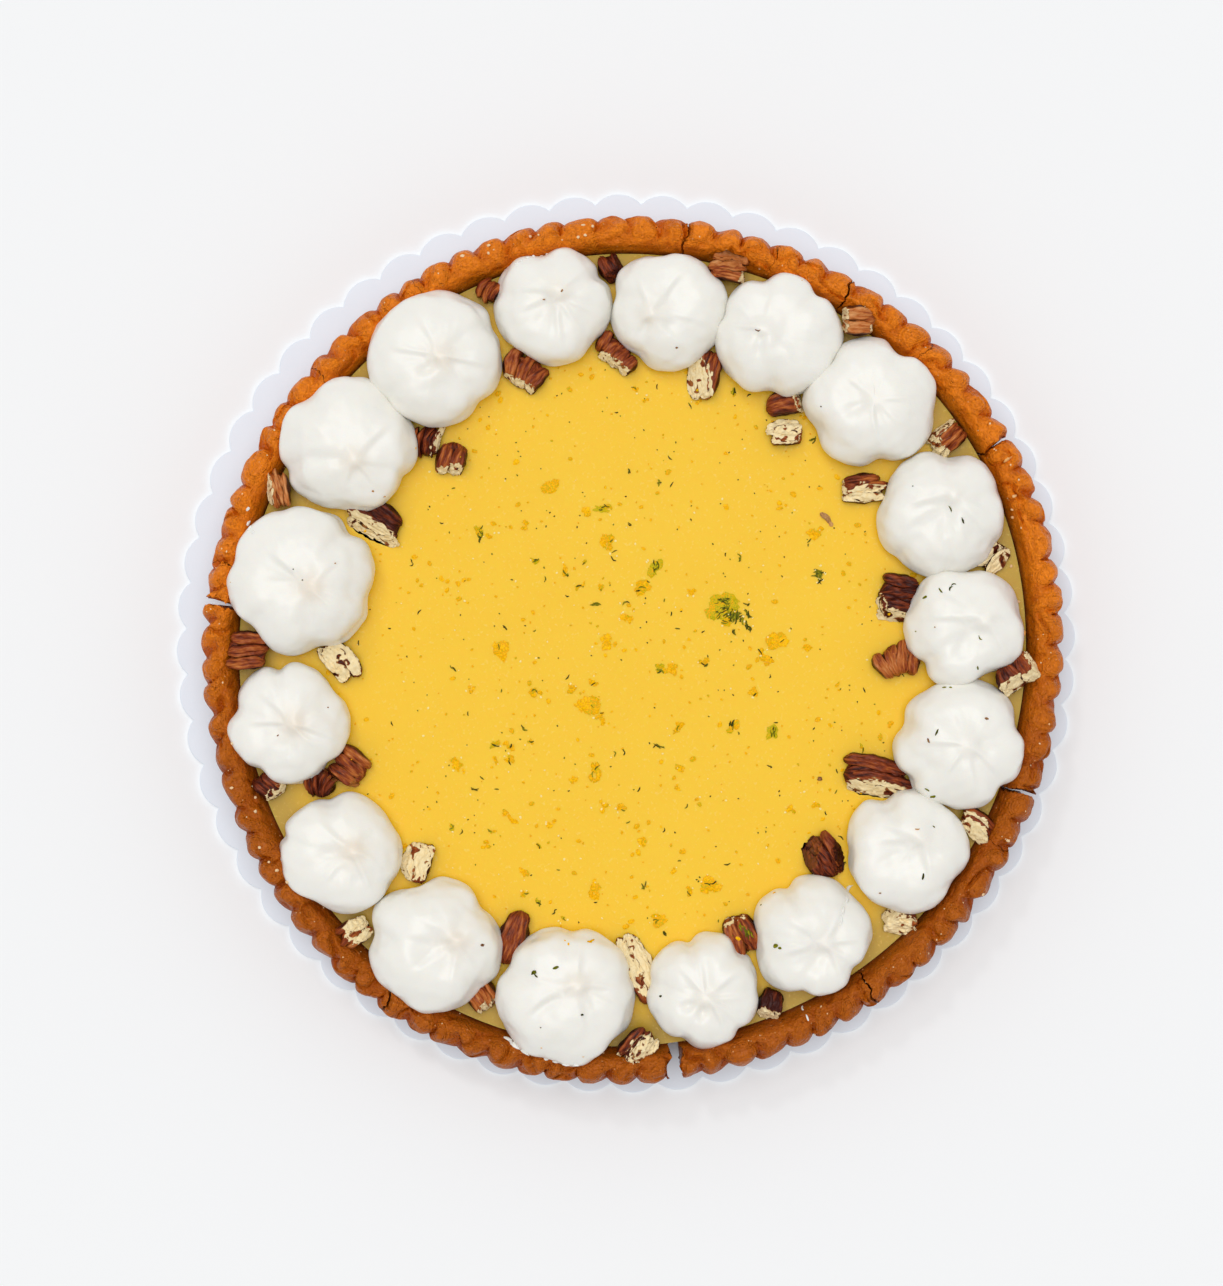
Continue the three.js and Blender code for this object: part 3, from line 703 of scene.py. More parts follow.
def curd_form():
    form = bmesh.new()
    shade = form.verts.layers.float.new("rim_shade")
    floor_edge, floor = FLOOR_RADIUS - 0.3, FLOOR_TOP + 0.3
    corners = [(0, floor), (floor_edge, floor), (WALL_RADIUS + 0.1, CURD_TOP), (0, CURD_TOP)]
    line = [form.verts.new((x, 0, z)) for x, z in corners]
    edges = [form.edges.new(pair) for pair in zip(line, line[1:])]
    bmesh.ops.subdivide_edges(form, edges=edges[1:2], cuts=6)
    bmesh.ops.subdivide_edges(form, edges=edges[2:], cuts=CURD_RINGS)
    bmesh.ops.spin(
        form, geom=form.verts[:] + form.edges[:], cent=(0, 0, 0), axis=(0, 0, 1),
        angle=2 * math.pi, steps=CURD_STEPS, use_merge=True,
    )
    bmesh.ops.remove_doubles(form, verts=form.verts, dist=0.001)
    for vert in form.verts:
        radius = math.hypot(vert.co.x, vert.co.y)
        angle = math.atan2(vert.co.y, vert.co.x)
        if vert.co.z > CURD_TOP - 0.01:
            vert[shade] = rise(112, 125, radius)
            vert.co.z += CURD_WAVE * rough(vert.co, 24.0) + 0.05 * rough(vert.co, 6.0)
            vert.co.z += CURD_MENISCUS * rise(WALL_RADIUS - 2.5, WALL_RADIUS, radius) - 0.1
        growth = outline_growth(angle)
        vert.co.x *= growth
        vert.co.y *= growth
    return form


# %% [markdown]
# Curd is egg, butter and juice: a little light enters it and comes out again nearby, so
# it gets some subsurface scattering, and a soft, not a mirror-like, gloss. Near the crust
# and between the rosettes it lies in shade and looks greener.

# %% Curd: set lemon curd
def set_lemon_curd():
    material, tree, shader, where = start_material("set_lemon_curd", {
        "Roughness": 0.28, "IOR": 1.42, "Specular IOR Level": 0.2,
        "Subsurface Weight": 0.25, "Subsurface Radius": (1.0, 0.55, 0.12), "Subsurface Scale": 3 * MM,
    })
    shade = add_node(tree, "ShaderNodeAttribute", attribute_name="rim_shade").outputs["Fac"]
    cloud = add_node(tree, "ShaderNodeTexNoise", {"Vector": where, "Scale": lumps_of(28.0), "Detail": 3.0})
    body = add_node(
        tree, "ShaderNodeMix",
        {MIX_FACTOR: cloud.outputs["Fac"], MIX_A: linear("F6C41E"), MIX_B: linear("F9CA28")},
        data_type="RGBA",
    ).outputs[MIX_RESULT]
    shaded = add_node(
        tree, "ShaderNodeMix",
        {MIX_FACTOR: shade, MIX_A: body, MIX_B: linear("C6A23C")}, data_type="RGBA",
    ).outputs[MIX_RESULT]
    pulp = add_node(
        tree, "ShaderNodeTexNoise", {"Vector": where, "Scale": lumps_of(1.1), "Detail": 2.0},
    ).outputs["Fac"]
    pulpy = add_node(
        tree, "ShaderNodeMapRange",
        {"Value": pulp, "From Min": 0.6, "From Max": 0.75, "To Min": 0.0, "To Max": 0.35},
    ).outputs["Result"]
    spotted = add_node(
        tree, "ShaderNodeMix",
        {MIX_FACTOR: pulpy, MIX_A: shaded, MIX_B: linear("FADB78")}, data_type="RGBA",
    ).outputs[MIX_RESULT]
    tree.links.new(spotted, shader.inputs["Base Color"])
    relief = add_node(
        tree, "ShaderNodeBump", {"Height": pulp, "Strength": 0.25, "Distance": 0.0002},
    ).outputs["Normal"]
    tree.links.new(relief, shader.inputs["Normal"])
    return material


finish_piece(curd_form(), "lemon_curd", [set_lemon_curd()], ["filling"])

# %% [markdown]
# ## The meringue rosettes: one dollop
#
# A rosette is piped from a wide nozzle: five or six fat lobes lie round a low peak, where
# the bag was pulled away. The foam then settles, so its lobes are soft and its top is
# broad, but round the peak some folds stay as sharp as a crease, with a thin raised lip.
#
# Rosettes can be sculpted from a sphere, but the poles of a sphere lie where the peak
# should be. A turned dollop has its rings in the right place already. Every corner of
# it is then moved by a handful of effects: dents between the lobes, creases that fan out
# from the peak, and lumps.

# %% Rosettes: one dollop
ROSETTE_TALL = 0.49  # height over width
ROSETTE_STEPS = 176
ROSETTE_RINGS = 54
WIDEST = 0.24  # how high a dollop's widest ring lies, as a share of its height
UNDERSIDE = 0.9  # how far its outline turns in below that ring, in radians


def dollop():
    """A turned dollop of radius 1 and height 1, its widest ring a quarter of the way up."""
    form = bmesh.new()
    foot = form.verts.new((0, 0, 0))
    heel = form.verts.new((0.9, 0, 0))
    form.edges.new((foot, heel))
    line = [heel]
    for row in range(ROSETTE_RINGS + 1):
        turn = blend(-UNDERSIDE, math.pi / 2, row / ROSETTE_RINGS)
        sine = math.sin(turn)
        if turn > 0:
            height, bluntness = WIDEST + (1 - WIDEST) * sine ** 0.82, 0.7
        else:
            height, bluntness = WIDEST * (1 + sine / math.sin(UNDERSIDE)), 0.35
        width = max(math.cos(turn), 0.0) ** bluntness
        line.append(form.verts.new((width, 0, max(height, 0.012))))
    for pair in zip(line, line[1:]):
        form.edges.new(pair)
    bmesh.ops.spin(
        form, geom=form.verts[:] + form.edges[:], cent=(0, 0, 0), axis=(0, 0, 1),
        angle=2 * math.pi, steps=ROSETTE_STEPS, use_merge=True,
    )
    bmesh.ops.remove_doubles(form, verts=form.verts, dist=0.0005)
    return form


# %% [markdown]
# Every rosette is listed with its place and width, the bearings of its lobes, where its
# peak lies from its middle, and how strong a warm cream tint lies round the peak. Then come
# its creases. A crease starts some way from the peak and ends further out. Its side says
# where the foam is lower: 1 to the left of the line seen from the peak, -1 to the right,
# and 0 for a soft valley. Its width is how far the lower side reaches, and its bend is
# how many degrees it swings on its way out.

# %% Rosettes: the list
ROSETTES = [  # bearing, reach, width, lobes, peak, warmth, then creases as
  # [bearing, from, to, depth, side, width, bend]
    [103, 115, 36, [5, 60, 140, 195, 285, 350], [2, 3], 0.35, [
        [-88, 1, 17, 1.0, 1, 3, 3], [-58, 2, 14, 0.9, 1, 3, 4], [-28, 4, 14, 0.7, 1, 3, 5],
        [-125, 1, 12, 1.1, 0, 2.2, 0], [165, 2, 14, 1.0, 1, 3.5, 12], [205, 3, 13, 0.8, 1, 3, 0],
        [40, 3, 12, 0.8, -1, 3, 0],
    ]],
    [84, 112, 36, [10, 65, 130, 200, 275, 350], [-6, -3], 0.35, [
        [52, 1, 17, 1.2, -1, 4, 0], [-18, 2, 10, 0.7, -1, 3, 0], [-105, 1, 8, 1.8, 0, 1.3, -10],
        [110, 3, 13, 0.9, 1, 4, 0], [-50, 5, 15, 0.8, 1, 3, 10], [0, 6, 18, 0.8, -1, 4, -10],
    ]],
    [65, 113, 39, [15, 80, 130, 190, 225, 300], [-6, 1], 0.1, [
        [176, 0.5, 9, 1.2, 1, 2.5, 0], [-98, 1, 11, 1.5, 0, 1.6, 0], [-38, 5, 12, 0.6, 1, 2.5, 0],
        [75, 3, 14, 0.6, 1, 4, 0], [130, 3, 12, 0.5, -1, 3, 0], [-15, 6, 20, 0.5, 0, 3.5, 0],
    ]],
    [46, 112, 40, [30, 90, 175, 235, 320], [0, 0], 0.15, [
        [203, 1, 11, 1.3, 0, 1.4, 0], [-95, 1, 17, 1.1, 1, 5, 20], [0, 3, 12, 0.5, -1, 3, 0],
        [100, 4, 14, 0.5, 0, 3, 0], [140, 3, 12, 0.4, 1, 3, 0], [-45, 6, 14, 0.5, -1, 3, 0],
    ]],
    [24, 110, 39, [45, 120, 200, 250, 300, 355], [3, 5.5], 0.1, [
        [-18, 0.5, 14, 1.0, 1, 2, -10], [193, 1, 16, 1.1, 1, 4, 0], [-112, 2, 20, 1.5, 0, 3.2, -8],
        [-50, 6, 18, 0.7, -1, 3, 0], [75, 3, 12, 0.5, 0, 3, 0], [-145, 8, 20, 0.6, 1, 3, 0],
        [-75, 9, 19, 0.6, 1, 2, 0],
    ]],
    [4, 108, 37, [45, 130, 190, 255, 340], [6, 2.5], 0.1, [
        [176, 2, 22, 1.3, 1, 4, 4], [-130, 3, 15, 1.5, 0, 2.8, 0], [-60, 3, 14, 0.8, -1, 3, 0],
        [8, 1, 9, 1.2, 0, 1.2, -25], [100, 4, 12, 0.6, 0, 3, 0], [150, 8, 20, 0.7, -1, 3, 0],
    ]],
    [-16, 111, 40, [45, 130, 190, 235, 275, 350], [1.5, 0.5], 0.1, [
        [178, 2, 17, 0.9, 1, 3.5, 0], [6, 2, 12, 1.3, 0, 1.6, 0], [-80, 4, 16, 0.8, 1, 2.5, 0],
        [-125, 4, 13, 1.0, 1, 3, 0], [-45, 3, 14, 1.0, -1, 3, 0], [90, 5, 16, 0.6, 0, 3, 0],
    ]],
    [-36, 110, 38, [15, 80, 145, 220, 290, 355], [4, 4.5], 0.2, [
        [-78, 1, 14, 1.3, -1, 3.5, 0], [-105, 2, 10, 0.9, 0, 1.5, 0], [188, 1, 13, 1.0, 1, 3, 0],
        [165, 2, 14, 0.8, 1, 2.5, 0], [-140, 4, 15, 0.8, 0, 2.5, 0], [-40, 3, 10, 0.6, -1, 2.5, 0],
        [30, 3, 10, 0.5, 0, 2.5, 0],
    ]],
    [-58, 110, 37, [10, 90, 140, 230, 290, 355], [4.5, -1], 0.2, [
        [60, 1, 16, 1.0, -1, 3, 8], [-68, 1, 13, 1.2, -1, 4, 0], [3, 2, 12, 0.9, -1, 3, 0],
        [-33, 2, 9, 0.9, 1, 2, 0], [-118, 2, 11, 1.6, 0, 1.9, 0], [150, 3, 15, 0.8, 1, 3.5, 0],
        [195, 4, 16, 0.9, 1, 3.5, 0],
    ]],
    [-78, 113, 35, [20, 80, 135, 210, 285, 340], [0.5, -2], 0.3, [
        [8, 2, 12, 1.0, 1, 2, 0], [-12, 2, 14, 1.2, 1, 2.5, -22], [-48, 1, 13, 1.3, -1, 2.5, -15],
        [-108, 2, 7, 2.2, 0, 1.4, 0], [200, 4, 9, 2.0, 0, 1.1, 0], [97, 1, 13, 0.9, -1, 2.5, 0],
        [132, 3, 13, 0.9, 1, 3, 0], [42, 4, 13, 0.9, -1, 2.5, 0],
    ]],
    [-101, 114, 43, [50, 120, 185, 220, 290, 345], [4.5, 4.5], 0.55, [
        [85, 2, 15, 0.8, -1, 3, 0], [-8, 2, 13, 0.9, -1, 3, 0], [-50, 2, 10, 0.8, 1, 2, -10],
        [-82, 2, 16, 0.9, 1, 3, 0], [197, 2, 21, 1.6, 1, 4, 14], [172, 3, 18, 0.8, -1, 3, 0],
        [-30, 6, 17, 0.7, 1, 2, 0],
    ]],
    [-124, 115, 41, [10, 70, 140, 200, 285, 350], [8, 2], 0.8, [
        [175, 1, 15, 0.9, 1, 3, 0], [215, 1, 16, 1.2, -1, 3.5, 0], [-55, 2, 10, 0.9, 1, 2.5, 0],
        [75, 1, 15, 1.2, 0, 2.0, 10], [-100, 2, 15, 1.0, -1, 3.5, 0], [150, 4, 16, 0.7, 1, 3, 0],
    ]],
    [-145, 116, 38, [0, 60, 140, 180, 300], [5, 2], 1.0, [
        [-18, 1, 10, 0.9, -1, 3, -18], [-68, 1, 14, 1.3, -1, 4, 0], [188, 3, 11, 1.5, 0, 1.7, 0],
        [138, 2, 13, 1.1, -1, 3.5, 0], [40, 2, 10, 0.9, 0, 1.8, 0], [-130, 5, 15, 0.8, 1, 3, 0],
    ]],
    [-168, 114, 37, [0, 75, 125, 205, 275, 350], [2.5, 0], 0.9, [
        [-53, 1, 10, 1.1, 1, 3.5, 15], [-20, 1, 16, 1.0, -1, 3, 0], [-100, 2, 16, 1.2, 0, 2.6, 0],
        [178, 2, 15, 0.9, 1, 3.5, 0], [138, 2, 16, 0.9, 1, 3, 0], [30, 2, 14, 1.0, 0, 2.2, 0],
    ]],
    [168, 110, 46, [15, 75, 135, 195, 255, 315], [4.5, -2.5], 1.0, [
        [100, 2, 11, 0.9, 0, 2, 0], [45, 2, 13, 0.7, -1, 3, 0], [-40, 2, 11, 0.9, 1, 2.5, 0],
        [-95, 2, 13, 1.0, 0, 2, 0], [175, 2, 16, 1.2, 0, 2.6, 0], [140, 4, 20, 0.9, 1, 3, 0],
        [-15, 3, 12, 0.7, 1, 2.5, 0],
    ]],
    [144, 114, 42, [0, 85, 180, 225, 310, 350], [3, -6], 0.6, [
        [172, 3, 18, 1.6, 0, 1.6, 8], [-8, 1, 12, 0.9, -1, 3, 0], [-50, 1, 12, 1.1, -1, 3.5, 0],
        [48, 2, 15, 0.9, -1, 3.5, 0], [110, 4, 21, 0.7, 0, 3, 0], [-110, 2, 8, 0.9, 1, 3, 0],
    ]],
    [124, 115, 42, [0, 60, 190, 255, 285, 345], [3, -1], 0.7, [
        [170, 1, 17, 1.1, 1, 4, 0], [-130, 1, 9, 1.7, 0, 1.2, -15], [42, 3, 13, 1.2, 0, 1.7, 0],
        [-10, 2, 15, 0.9, -1, 3.5, 0], [-85, 8, 20, 0.9, 0, 2.2, 0], [120, 4, 16, 0.6, 1, 3, 0],
        [-50, 3, 9, 0.7, 1, 2, 0],
    ]],
]
print("rosettes:", len(ROSETTES))

# %% [markdown]
# Between two lobes the outline has a dent, wide and soft, which fades up the flank. A
# crease is a little cliff along a line: the foam is lower on one side of it, comes back
# to its old height further off, and the edge of the cliff stands up as a lip.

# %% Rosettes: dents, creases and the peak
LIP = 0.28  # height of a crease's lip over its depth
SETTLED = 0.85  # what is left of a crease's depth once the foam has settled
CLIFF_SOFTNESS = 0.75
CREASE_RUN = 1.25  # how much further than listed a crease fades out
NARROW_GAP = 35.0  # lobes closer than this many degrees have run into one
LOBE_GROWTH = 1.2  # how far the lobes stand out beyond the listed width
VALLEY = 0.3  # depth of the valley above a dent over the depth of the dent


def outline_dents(lobes, luck):
    """A dent in each wide gap between two lobes: its bearing, depth and width in degrees."""
    return [
        [(crest + following) / 2, luck.uniform(0.7, 2.7), luck.uniform(0.14, 0.22) * (following - crest)]
        for crest, following in zip(lobes, lobes[1:] + [lobes[0] + 360])
        if following - crest > NARROW_GAP
    ]


def turned_away(bearing, line):
    """How many degrees a bearing lies to the left of a line."""
    return (bearing - line + 180) % 360 - 180


def crease_drop(crease, bearing, far):
    """How much a crease lowers the foam at a bearing and a distance from the peak."""
    line, start, end, depth, side, wide, bend = crease
    faded = CREASE_RUN * end
    if far < start * 0.5 or far > faded:
        return 0.0
    along = SETTLED * rise(start * 0.5, start + 2.5, far) * (1 - rise(faded * 0.5, faded, far))
    aside = math.radians(turned_away(bearing, line + bend * far / end)) * far
    if abs(aside) > 16:
        return 0.0
    opened = 0.6 + 0.06 * far  # a fold is narrow at the peak and opens on its way out
    if side == 0:
        return along * depth * math.exp(-((aside / (opened * (wide + 0.5))) ** 2))
    aside *= side
    soft = CLIFF_SOFTNESS * opened
    cliff = 0.5 + 0.5 * math.tanh((aside - 0.4) / soft)
    lip = LIP * math.exp(-(((aside + 0.6) / soft) ** 2))
    return along * depth * (cliff * math.exp(-max(aside, 0.0) / (1.5 * wide * opened)) * 1.25 - lip)


def rosette_form(number, bearing, reach, width, lobes, peak, warmth, creases):
    luck = random.Random(100 + number)
    dents = outline_dents(lobes, luck)
    form = dollop()
    warm = form.verts.layers.float.new("warm")
    radius, height = width / 2, width * ROSETTE_TALL
    peak_tall = luck.uniform(0.7, 1.3)
    seed = 10.0 * number
    for vert in form.verts:
        up = vert.co.z
        share = math.hypot(vert.co.x, vert.co.y)
        angle = math.atan2(vert.co.y, vert.co.x)
        outwards = Vector((math.cos(angle), math.sin(angle), 0))
        degrees = math.degrees(angle)
        dent = sum(deep * math.exp(-((turned_away(degrees, at) / wide) ** 2)) for at, deep, wide in dents)
        spot = outwards * (share * radius + share ** 3 * (LOBE_GROWTH - dent))
        spot.z = up * height - VALLEY * dent * rise(0.35, 0.85, share) * rise(0.1, 0.5, up)
        steep = min(share, 1.0) ** 2
        if up > 0.03:
            swell = Vector((spot.x * 0.7, spot.y * 0.7, spot.z))
            lumps = 1.7 * rough(swell, 9.0, seed) + 0.3 * rough(spot, 3.8, seed + 1)
            spot += (outwards * steep + Vector((0, 0, 1 - 0.6 * steep))) * lumps
        from_peak = Vector((spot.x - peak[0], spot.y - peak[1]))
        far = from_peak.length
        around = math.degrees(math.atan2(from_peak.y, from_peak.x))
        sunk = sum(crease_drop(crease, around, far) for crease in creases) * rise(0.1, 0.45, up)
        ripple = rough(Vector((around / 9, far / 7, seed)), 1.0) * rise(3, 9, far) * rise(0.1, 0.3, up)
        spot -= outwards * (0.5 * steep * sunk)
        tip = peak_tall * math.exp(-((far / 3.2) ** 2)) * rise(0.3, 0.6, up)
        spot.z += tip - 0.25 * math.exp(-((far / 1.3) ** 2))
        spot.z += (0.1 * ripple - sunk) * (1 - 0.5 * steep)
        vert[warm] = 0.4 * warmth * math.exp(-((far / 5.0) ** 2)) * rise(0.4, 0.7, up)
        vert.co = spot
    bmesh.ops.translate(form, vec=place_at(bearing, reach, CURD_TOP - 0.2), verts=form.verts)
    return form


# %% [markdown]
# French or Swiss meringue that hasn't been toasted is a bright, slightly warm white. It
# is full of tiny air bubbles, so light wanders inside it and softens every shadow, and
# its sugar gives it a satin gloss. Round the peak, some rosettes get a warm cream tint.

# %% Rosettes: soft meringue
def soft_meringue():
    material, tree, shader, where = start_material("soft_meringue", {
        "Roughness": 0.32, "IOR": 1.42,
        "Subsurface Weight": 0.2, "Subsurface Radius": (1.0, 0.8, 0.6), "Subsurface Scale": 1.5 * MM,
    })
    drift = add_node(tree, "ShaderNodeTexNoise", {"Vector": where, "Scale": lumps_of(14.0), "Detail": 2.0})
    tint = add_node(
        tree, "ShaderNodeMix",
        {MIX_FACTOR: drift.outputs["Fac"], MIX_A: linear("F6F4ED"), MIX_B: linear("F2F0E8")},
        data_type="RGBA",
    ).outputs[MIX_RESULT]
    warm = add_node(tree, "ShaderNodeAttribute", attribute_name="warm").outputs["Fac"]
    creamy = add_node(
        tree, "ShaderNodeMix", {MIX_FACTOR: warm, MIX_A: tint, MIX_B: linear("EBD3B4")}, data_type="RGBA",
    ).outputs[MIX_RESULT]
    tree.links.new(creamy, shader.inputs["Base Color"])
    bubble = add_node(tree, "ShaderNodeTexNoise", {"Vector": where, "Scale": lumps_of(1.6), "Detail": 2.0})
    relief = add_node(
        tree, "ShaderNodeBump", {"Height": bubble.outputs["Fac"], "Strength": 0.15, "Distance": 0.0003},
    ).outputs["Normal"]
    tree.links.new(relief, shader.inputs["Normal"])
    return material


meringue = soft_meringue()
for number, rosette in enumerate(ROSETTES, 1):
    finish_piece(
        rosette_form(number, *rosette), f"rosette_{number:02d}", [meringue],
        [f"meringue_{number:02d}"], crease=80,
    )

# %% [markdown]
# ## The broken pecans: one lobe
#
# A pecan half is a bundle of long lobes under one thin brown skin, with a deep dark fold
# between each two of them, and where it broke the cream flesh shows. One rounded block
# with grooves in it would look like a tiny whole nut. So a broken piece is put together
# from its lobes, each a cube divided into a fine grid and rounded off, long and a little
# askew. Each break is a plane: whatever sticks out beyond it is pushed back onto it, a
# little rough, and marked as flesh. Every lobe meets the plane at a slightly different
# depth, which gives the stepped and ragged edge of a real break.

# %% Pecans: a rounded grid
LOBE_CUTS = 16
NUT_TALL = 7.2
NUT_FLAT = 0.7
RIDGE_PITCH = 1.3  # the skin of a lobe has fine ridges along it
RIDGE_HEIGHT = 0.16


def lobe_block():
    """A rounded cube, 2 units wide, with an even grid on it."""
    form = bmesh.new()
    bmesh.ops.create_cube(form, size=2)
    bmesh.ops.subdivide_edges(form, edges=form.edges, cuts=LOBE_CUTS, use_grid_fill=True)
    for vert in form.verts:
        x, y, z = vert.co
        ball = Vector((
            x * math.sqrt(max(1 - y * y / 2 - z * z / 2 + y * y * z * z / 3, 0)),
            y * math.sqrt(max(1 - z * z / 2 - x * x / 2 + z * z * x * x / 3, 0)),
            z * math.sqrt(max(1 - x * x / 2 - y * y / 2 + x * x * y * y / 3, 0)),
        ))
        vert.co = vert.co.lerp(ball, 0.68)
    return form


# %% [markdown]
# Each nut is listed with its place, the heading of its lobes, its size and how far it is
# lifted off the curd, then with its looks: how light its skin is, how many lobes it has
# and how deep the folds between them are, whether they arch or fan out, and its breaks. A
# break has the bearing and the elevation that it faces, how far out it lies as a share of
# the nut, and how pale it is.

# %% Pecans: the list
NUTS = [  # bearing, reach, heading, long, wide, lift; then tone, lobes, depth, arch, fan, breaks
    [93, 125, -62, 10, 7, 0, 0.12, 2, 0.7, 0, 0, [[-60, 35, 0.55, 0], [20, 40, 0.8, 0.1]]],
    [76, 128, -12, 13, 9, 3.5, 0.55, 3, 0.9, 0.5, 0, [[80, 62, 0.75, 0.2], [-25, 20, 0.85, 0.7]]],
    [55.5, 130, 5, 12, 9, 4.5, 0.7, 2, 1.9, 0, 0, [[180, 20, 0.75, 0.7], [-20, 10, 0.85, 0.8]]],
    [34, 124, 38, 14, 9, 0, 0.42, 4, 0.7, 0, 0, [[218, 32, 0.6, 1], [128, 20, 0.8, 0.8]]],
    [14.5, 122, 40, 11, 9, 0, 0.1, 2, 0.6, 0, 0, [[-42, 50, 0.25, 1]]],
    [-3.5, 126, -55, 12, 14, 5, 0.28, 2, 2.2, 0, 0.2, [[-60, 38, 0.4, 1], [30, 20, 0.7, 1]]],
    [-27, 126, -38, 13, 8, 2, 0.3, 2, 0.5, 0.2, 0, [[232, 48, 0.3, 1]]],
    [-45, 124, -5, 13, 11, 0, 0.3, 3, 1.0, 0.2, 0, [[-100, 55, 0.3, 1], [150, 40, 0.6, 1]]],
    [-68.5, 124, 72, 12, 7, 0, 0.04, 2, 0.8, 0, 0, [[-108, 28, 0.6, 1]]],
    [-89, 129, 48, 14, 10, 4.5, 0.16, 3, 1.1, 0, 0, [[-40, 52, 0.35, 1], [228, 20, 0.8, 1]]],
    [-113.5, 123, -50, 12, 9, 0, 0.62, 4, 0.6, 0.2, 0, [[-50, 30, 0.7, 0.8], [130, 30, 0.8, 0.3]]],
    [-134.5, 128, 38, 13, 8, 3.5, 0.5, 3, 0.8, 0, 0, [[40, 50, 0.1, 1]]],
    [-159.5, 126, -50, 11, 8, 1, 0.14, 2, 1.3, 0, 0, [[-42, 32, 0.55, 1]]],
    [180, 125, 2, 14, 12, 4, 0.33, 3, 2.0, 0, 0.15, []],
    [155.5, 127, 103, 13, 8, 3, 0.72, 4, 0.8, 0, 0, [[190, 28, 0.6, 0.9]]],
    [111.5, 126, 60, 8, 7, 0, 0.4, 3, 0.9, 0.6, 0, []],
    [111, 97, 62, 12, 14, 0, 0.42, 3, 1.9, 0.3, 0.3, [[-115, 30, 0.72, 1]]],
    [93, 97, 45, 9, 15, 0, 0.34, 4, 1.4, 0, 0.25, [[-125, 25, 0.82, 1]]],
    [75.5, 93, 72, 19, 10, 0, 0.34, 2, 1.0, 0, 0, [[195, 50, 0.3, 1], [-100, 25, 0.75, 0.5]]],
    [58, 94, 15, 14, 7, 0, 0.42, 1, 0.6, 0.8, 0, [[10, 25, 0.75, 1]]],
    [54.5, 87, 5, 12, 8, 0, 0.42, 2, 0.6, 0.3, 0, [[90, 58, 0.25, 1]]],
    [35, 92, 5, 16, 9, 0, 0.32, 3, 1.2, 0, 0, [[-85, 60, 0.5, 1], [185, 15, 0.8, 1]]],
    [11, 88, -10, 14, 16, 0, 0.12, 4, 1.3, 0, 0, [[190, 26, 0.78, 1], [-100, 35, 0.68, 1]]],
    [-2, 87, 100, 11, 14, 0, 0.55, 4, 1.3, 0.2, 0.5, [[30, 15, 0.85, 0.5]]],
    [-28, 90, -12, 25, 14, 0, 0.24, 3, 1.4, 0.3, 0, [[-100, 42, 0.3, 1]]],
    [-47, 92, -58, 17, 12, 0, 0.22, 3, 1.4, 0, 0.2, [[150, 40, 0.5, 0.15], [0, 35, 0.65, 0]]],
    [-69, 99, -65, 15, 10, 0, 0.4, 2, 2.3, 0, 0, [[115, 25, 0.8, 1]]],
    [-89, 102, -70, 24, 9, 0, 0.36, 2, 0.9, 0, 0, [[40, 62, 0.2, 1]]],
    [-112.5, 102, 70, 19, 8, 0, 0.36, 1, 0.5, 0, 0, []],
    [-135, 98, 80, 15, 9, 0, 0.45, 2, 1.2, 0.8, 0, [[150, 62, 0.1, 1]]],
    [-157, 110, 80, 11, 11, 0, 0.2, 6, 0.6, 0.4, 0.5, [[60, 20, 0.8, 0.2]]],
    [-157.5, 99, -43, 13, 11, 0, 0.42, 3, 1.7, 0, 0, [[-43, 25, 0.8, 0.4]]],
    [-178, 96, -52, 16, 9, 0, 0.12, 2, 1.2, 0.5, 0, [[215, 78, 0.25, 1]]],
    [153.5, 94, -27, 21, 14, 0, 0.1, 3, 1.3, 0, 0, [[-117, 42, 0.3, 1]]],
    [134, 95, 78, 11, 9, 0, 0.22, 5, 0.7, 0.8, 0, [[-12, 30, 0.65, 1]]],
    [133, 86, 80, 12, 9, 0, 0.36, 2, 2.1, 0, 0, [[-100, 28, 0.75, 1]]],
]


# %% Pecans: lobes and breaks
NUT_LOOKS = ("flesh", "groove_shade", "tone", "lengthwise", "crosswise")


def break_planes(heading, half, breaks):
    """Each break as the way it faces, seen from the nut, how far out it lies and how pale it is."""
    planes = []
    for facing, elevation, share, pale in breaks:
        level = math.cos(math.radians(elevation))
        normal = place_at(facing - heading, level, math.sin(math.radians(elevation)))
        reach_out = math.sqrt(sum((normal[i] * half[i]) ** 2 for i in range(3)))
        planes.append([normal, share * reach_out, pale, elevation > 50])
    return planes


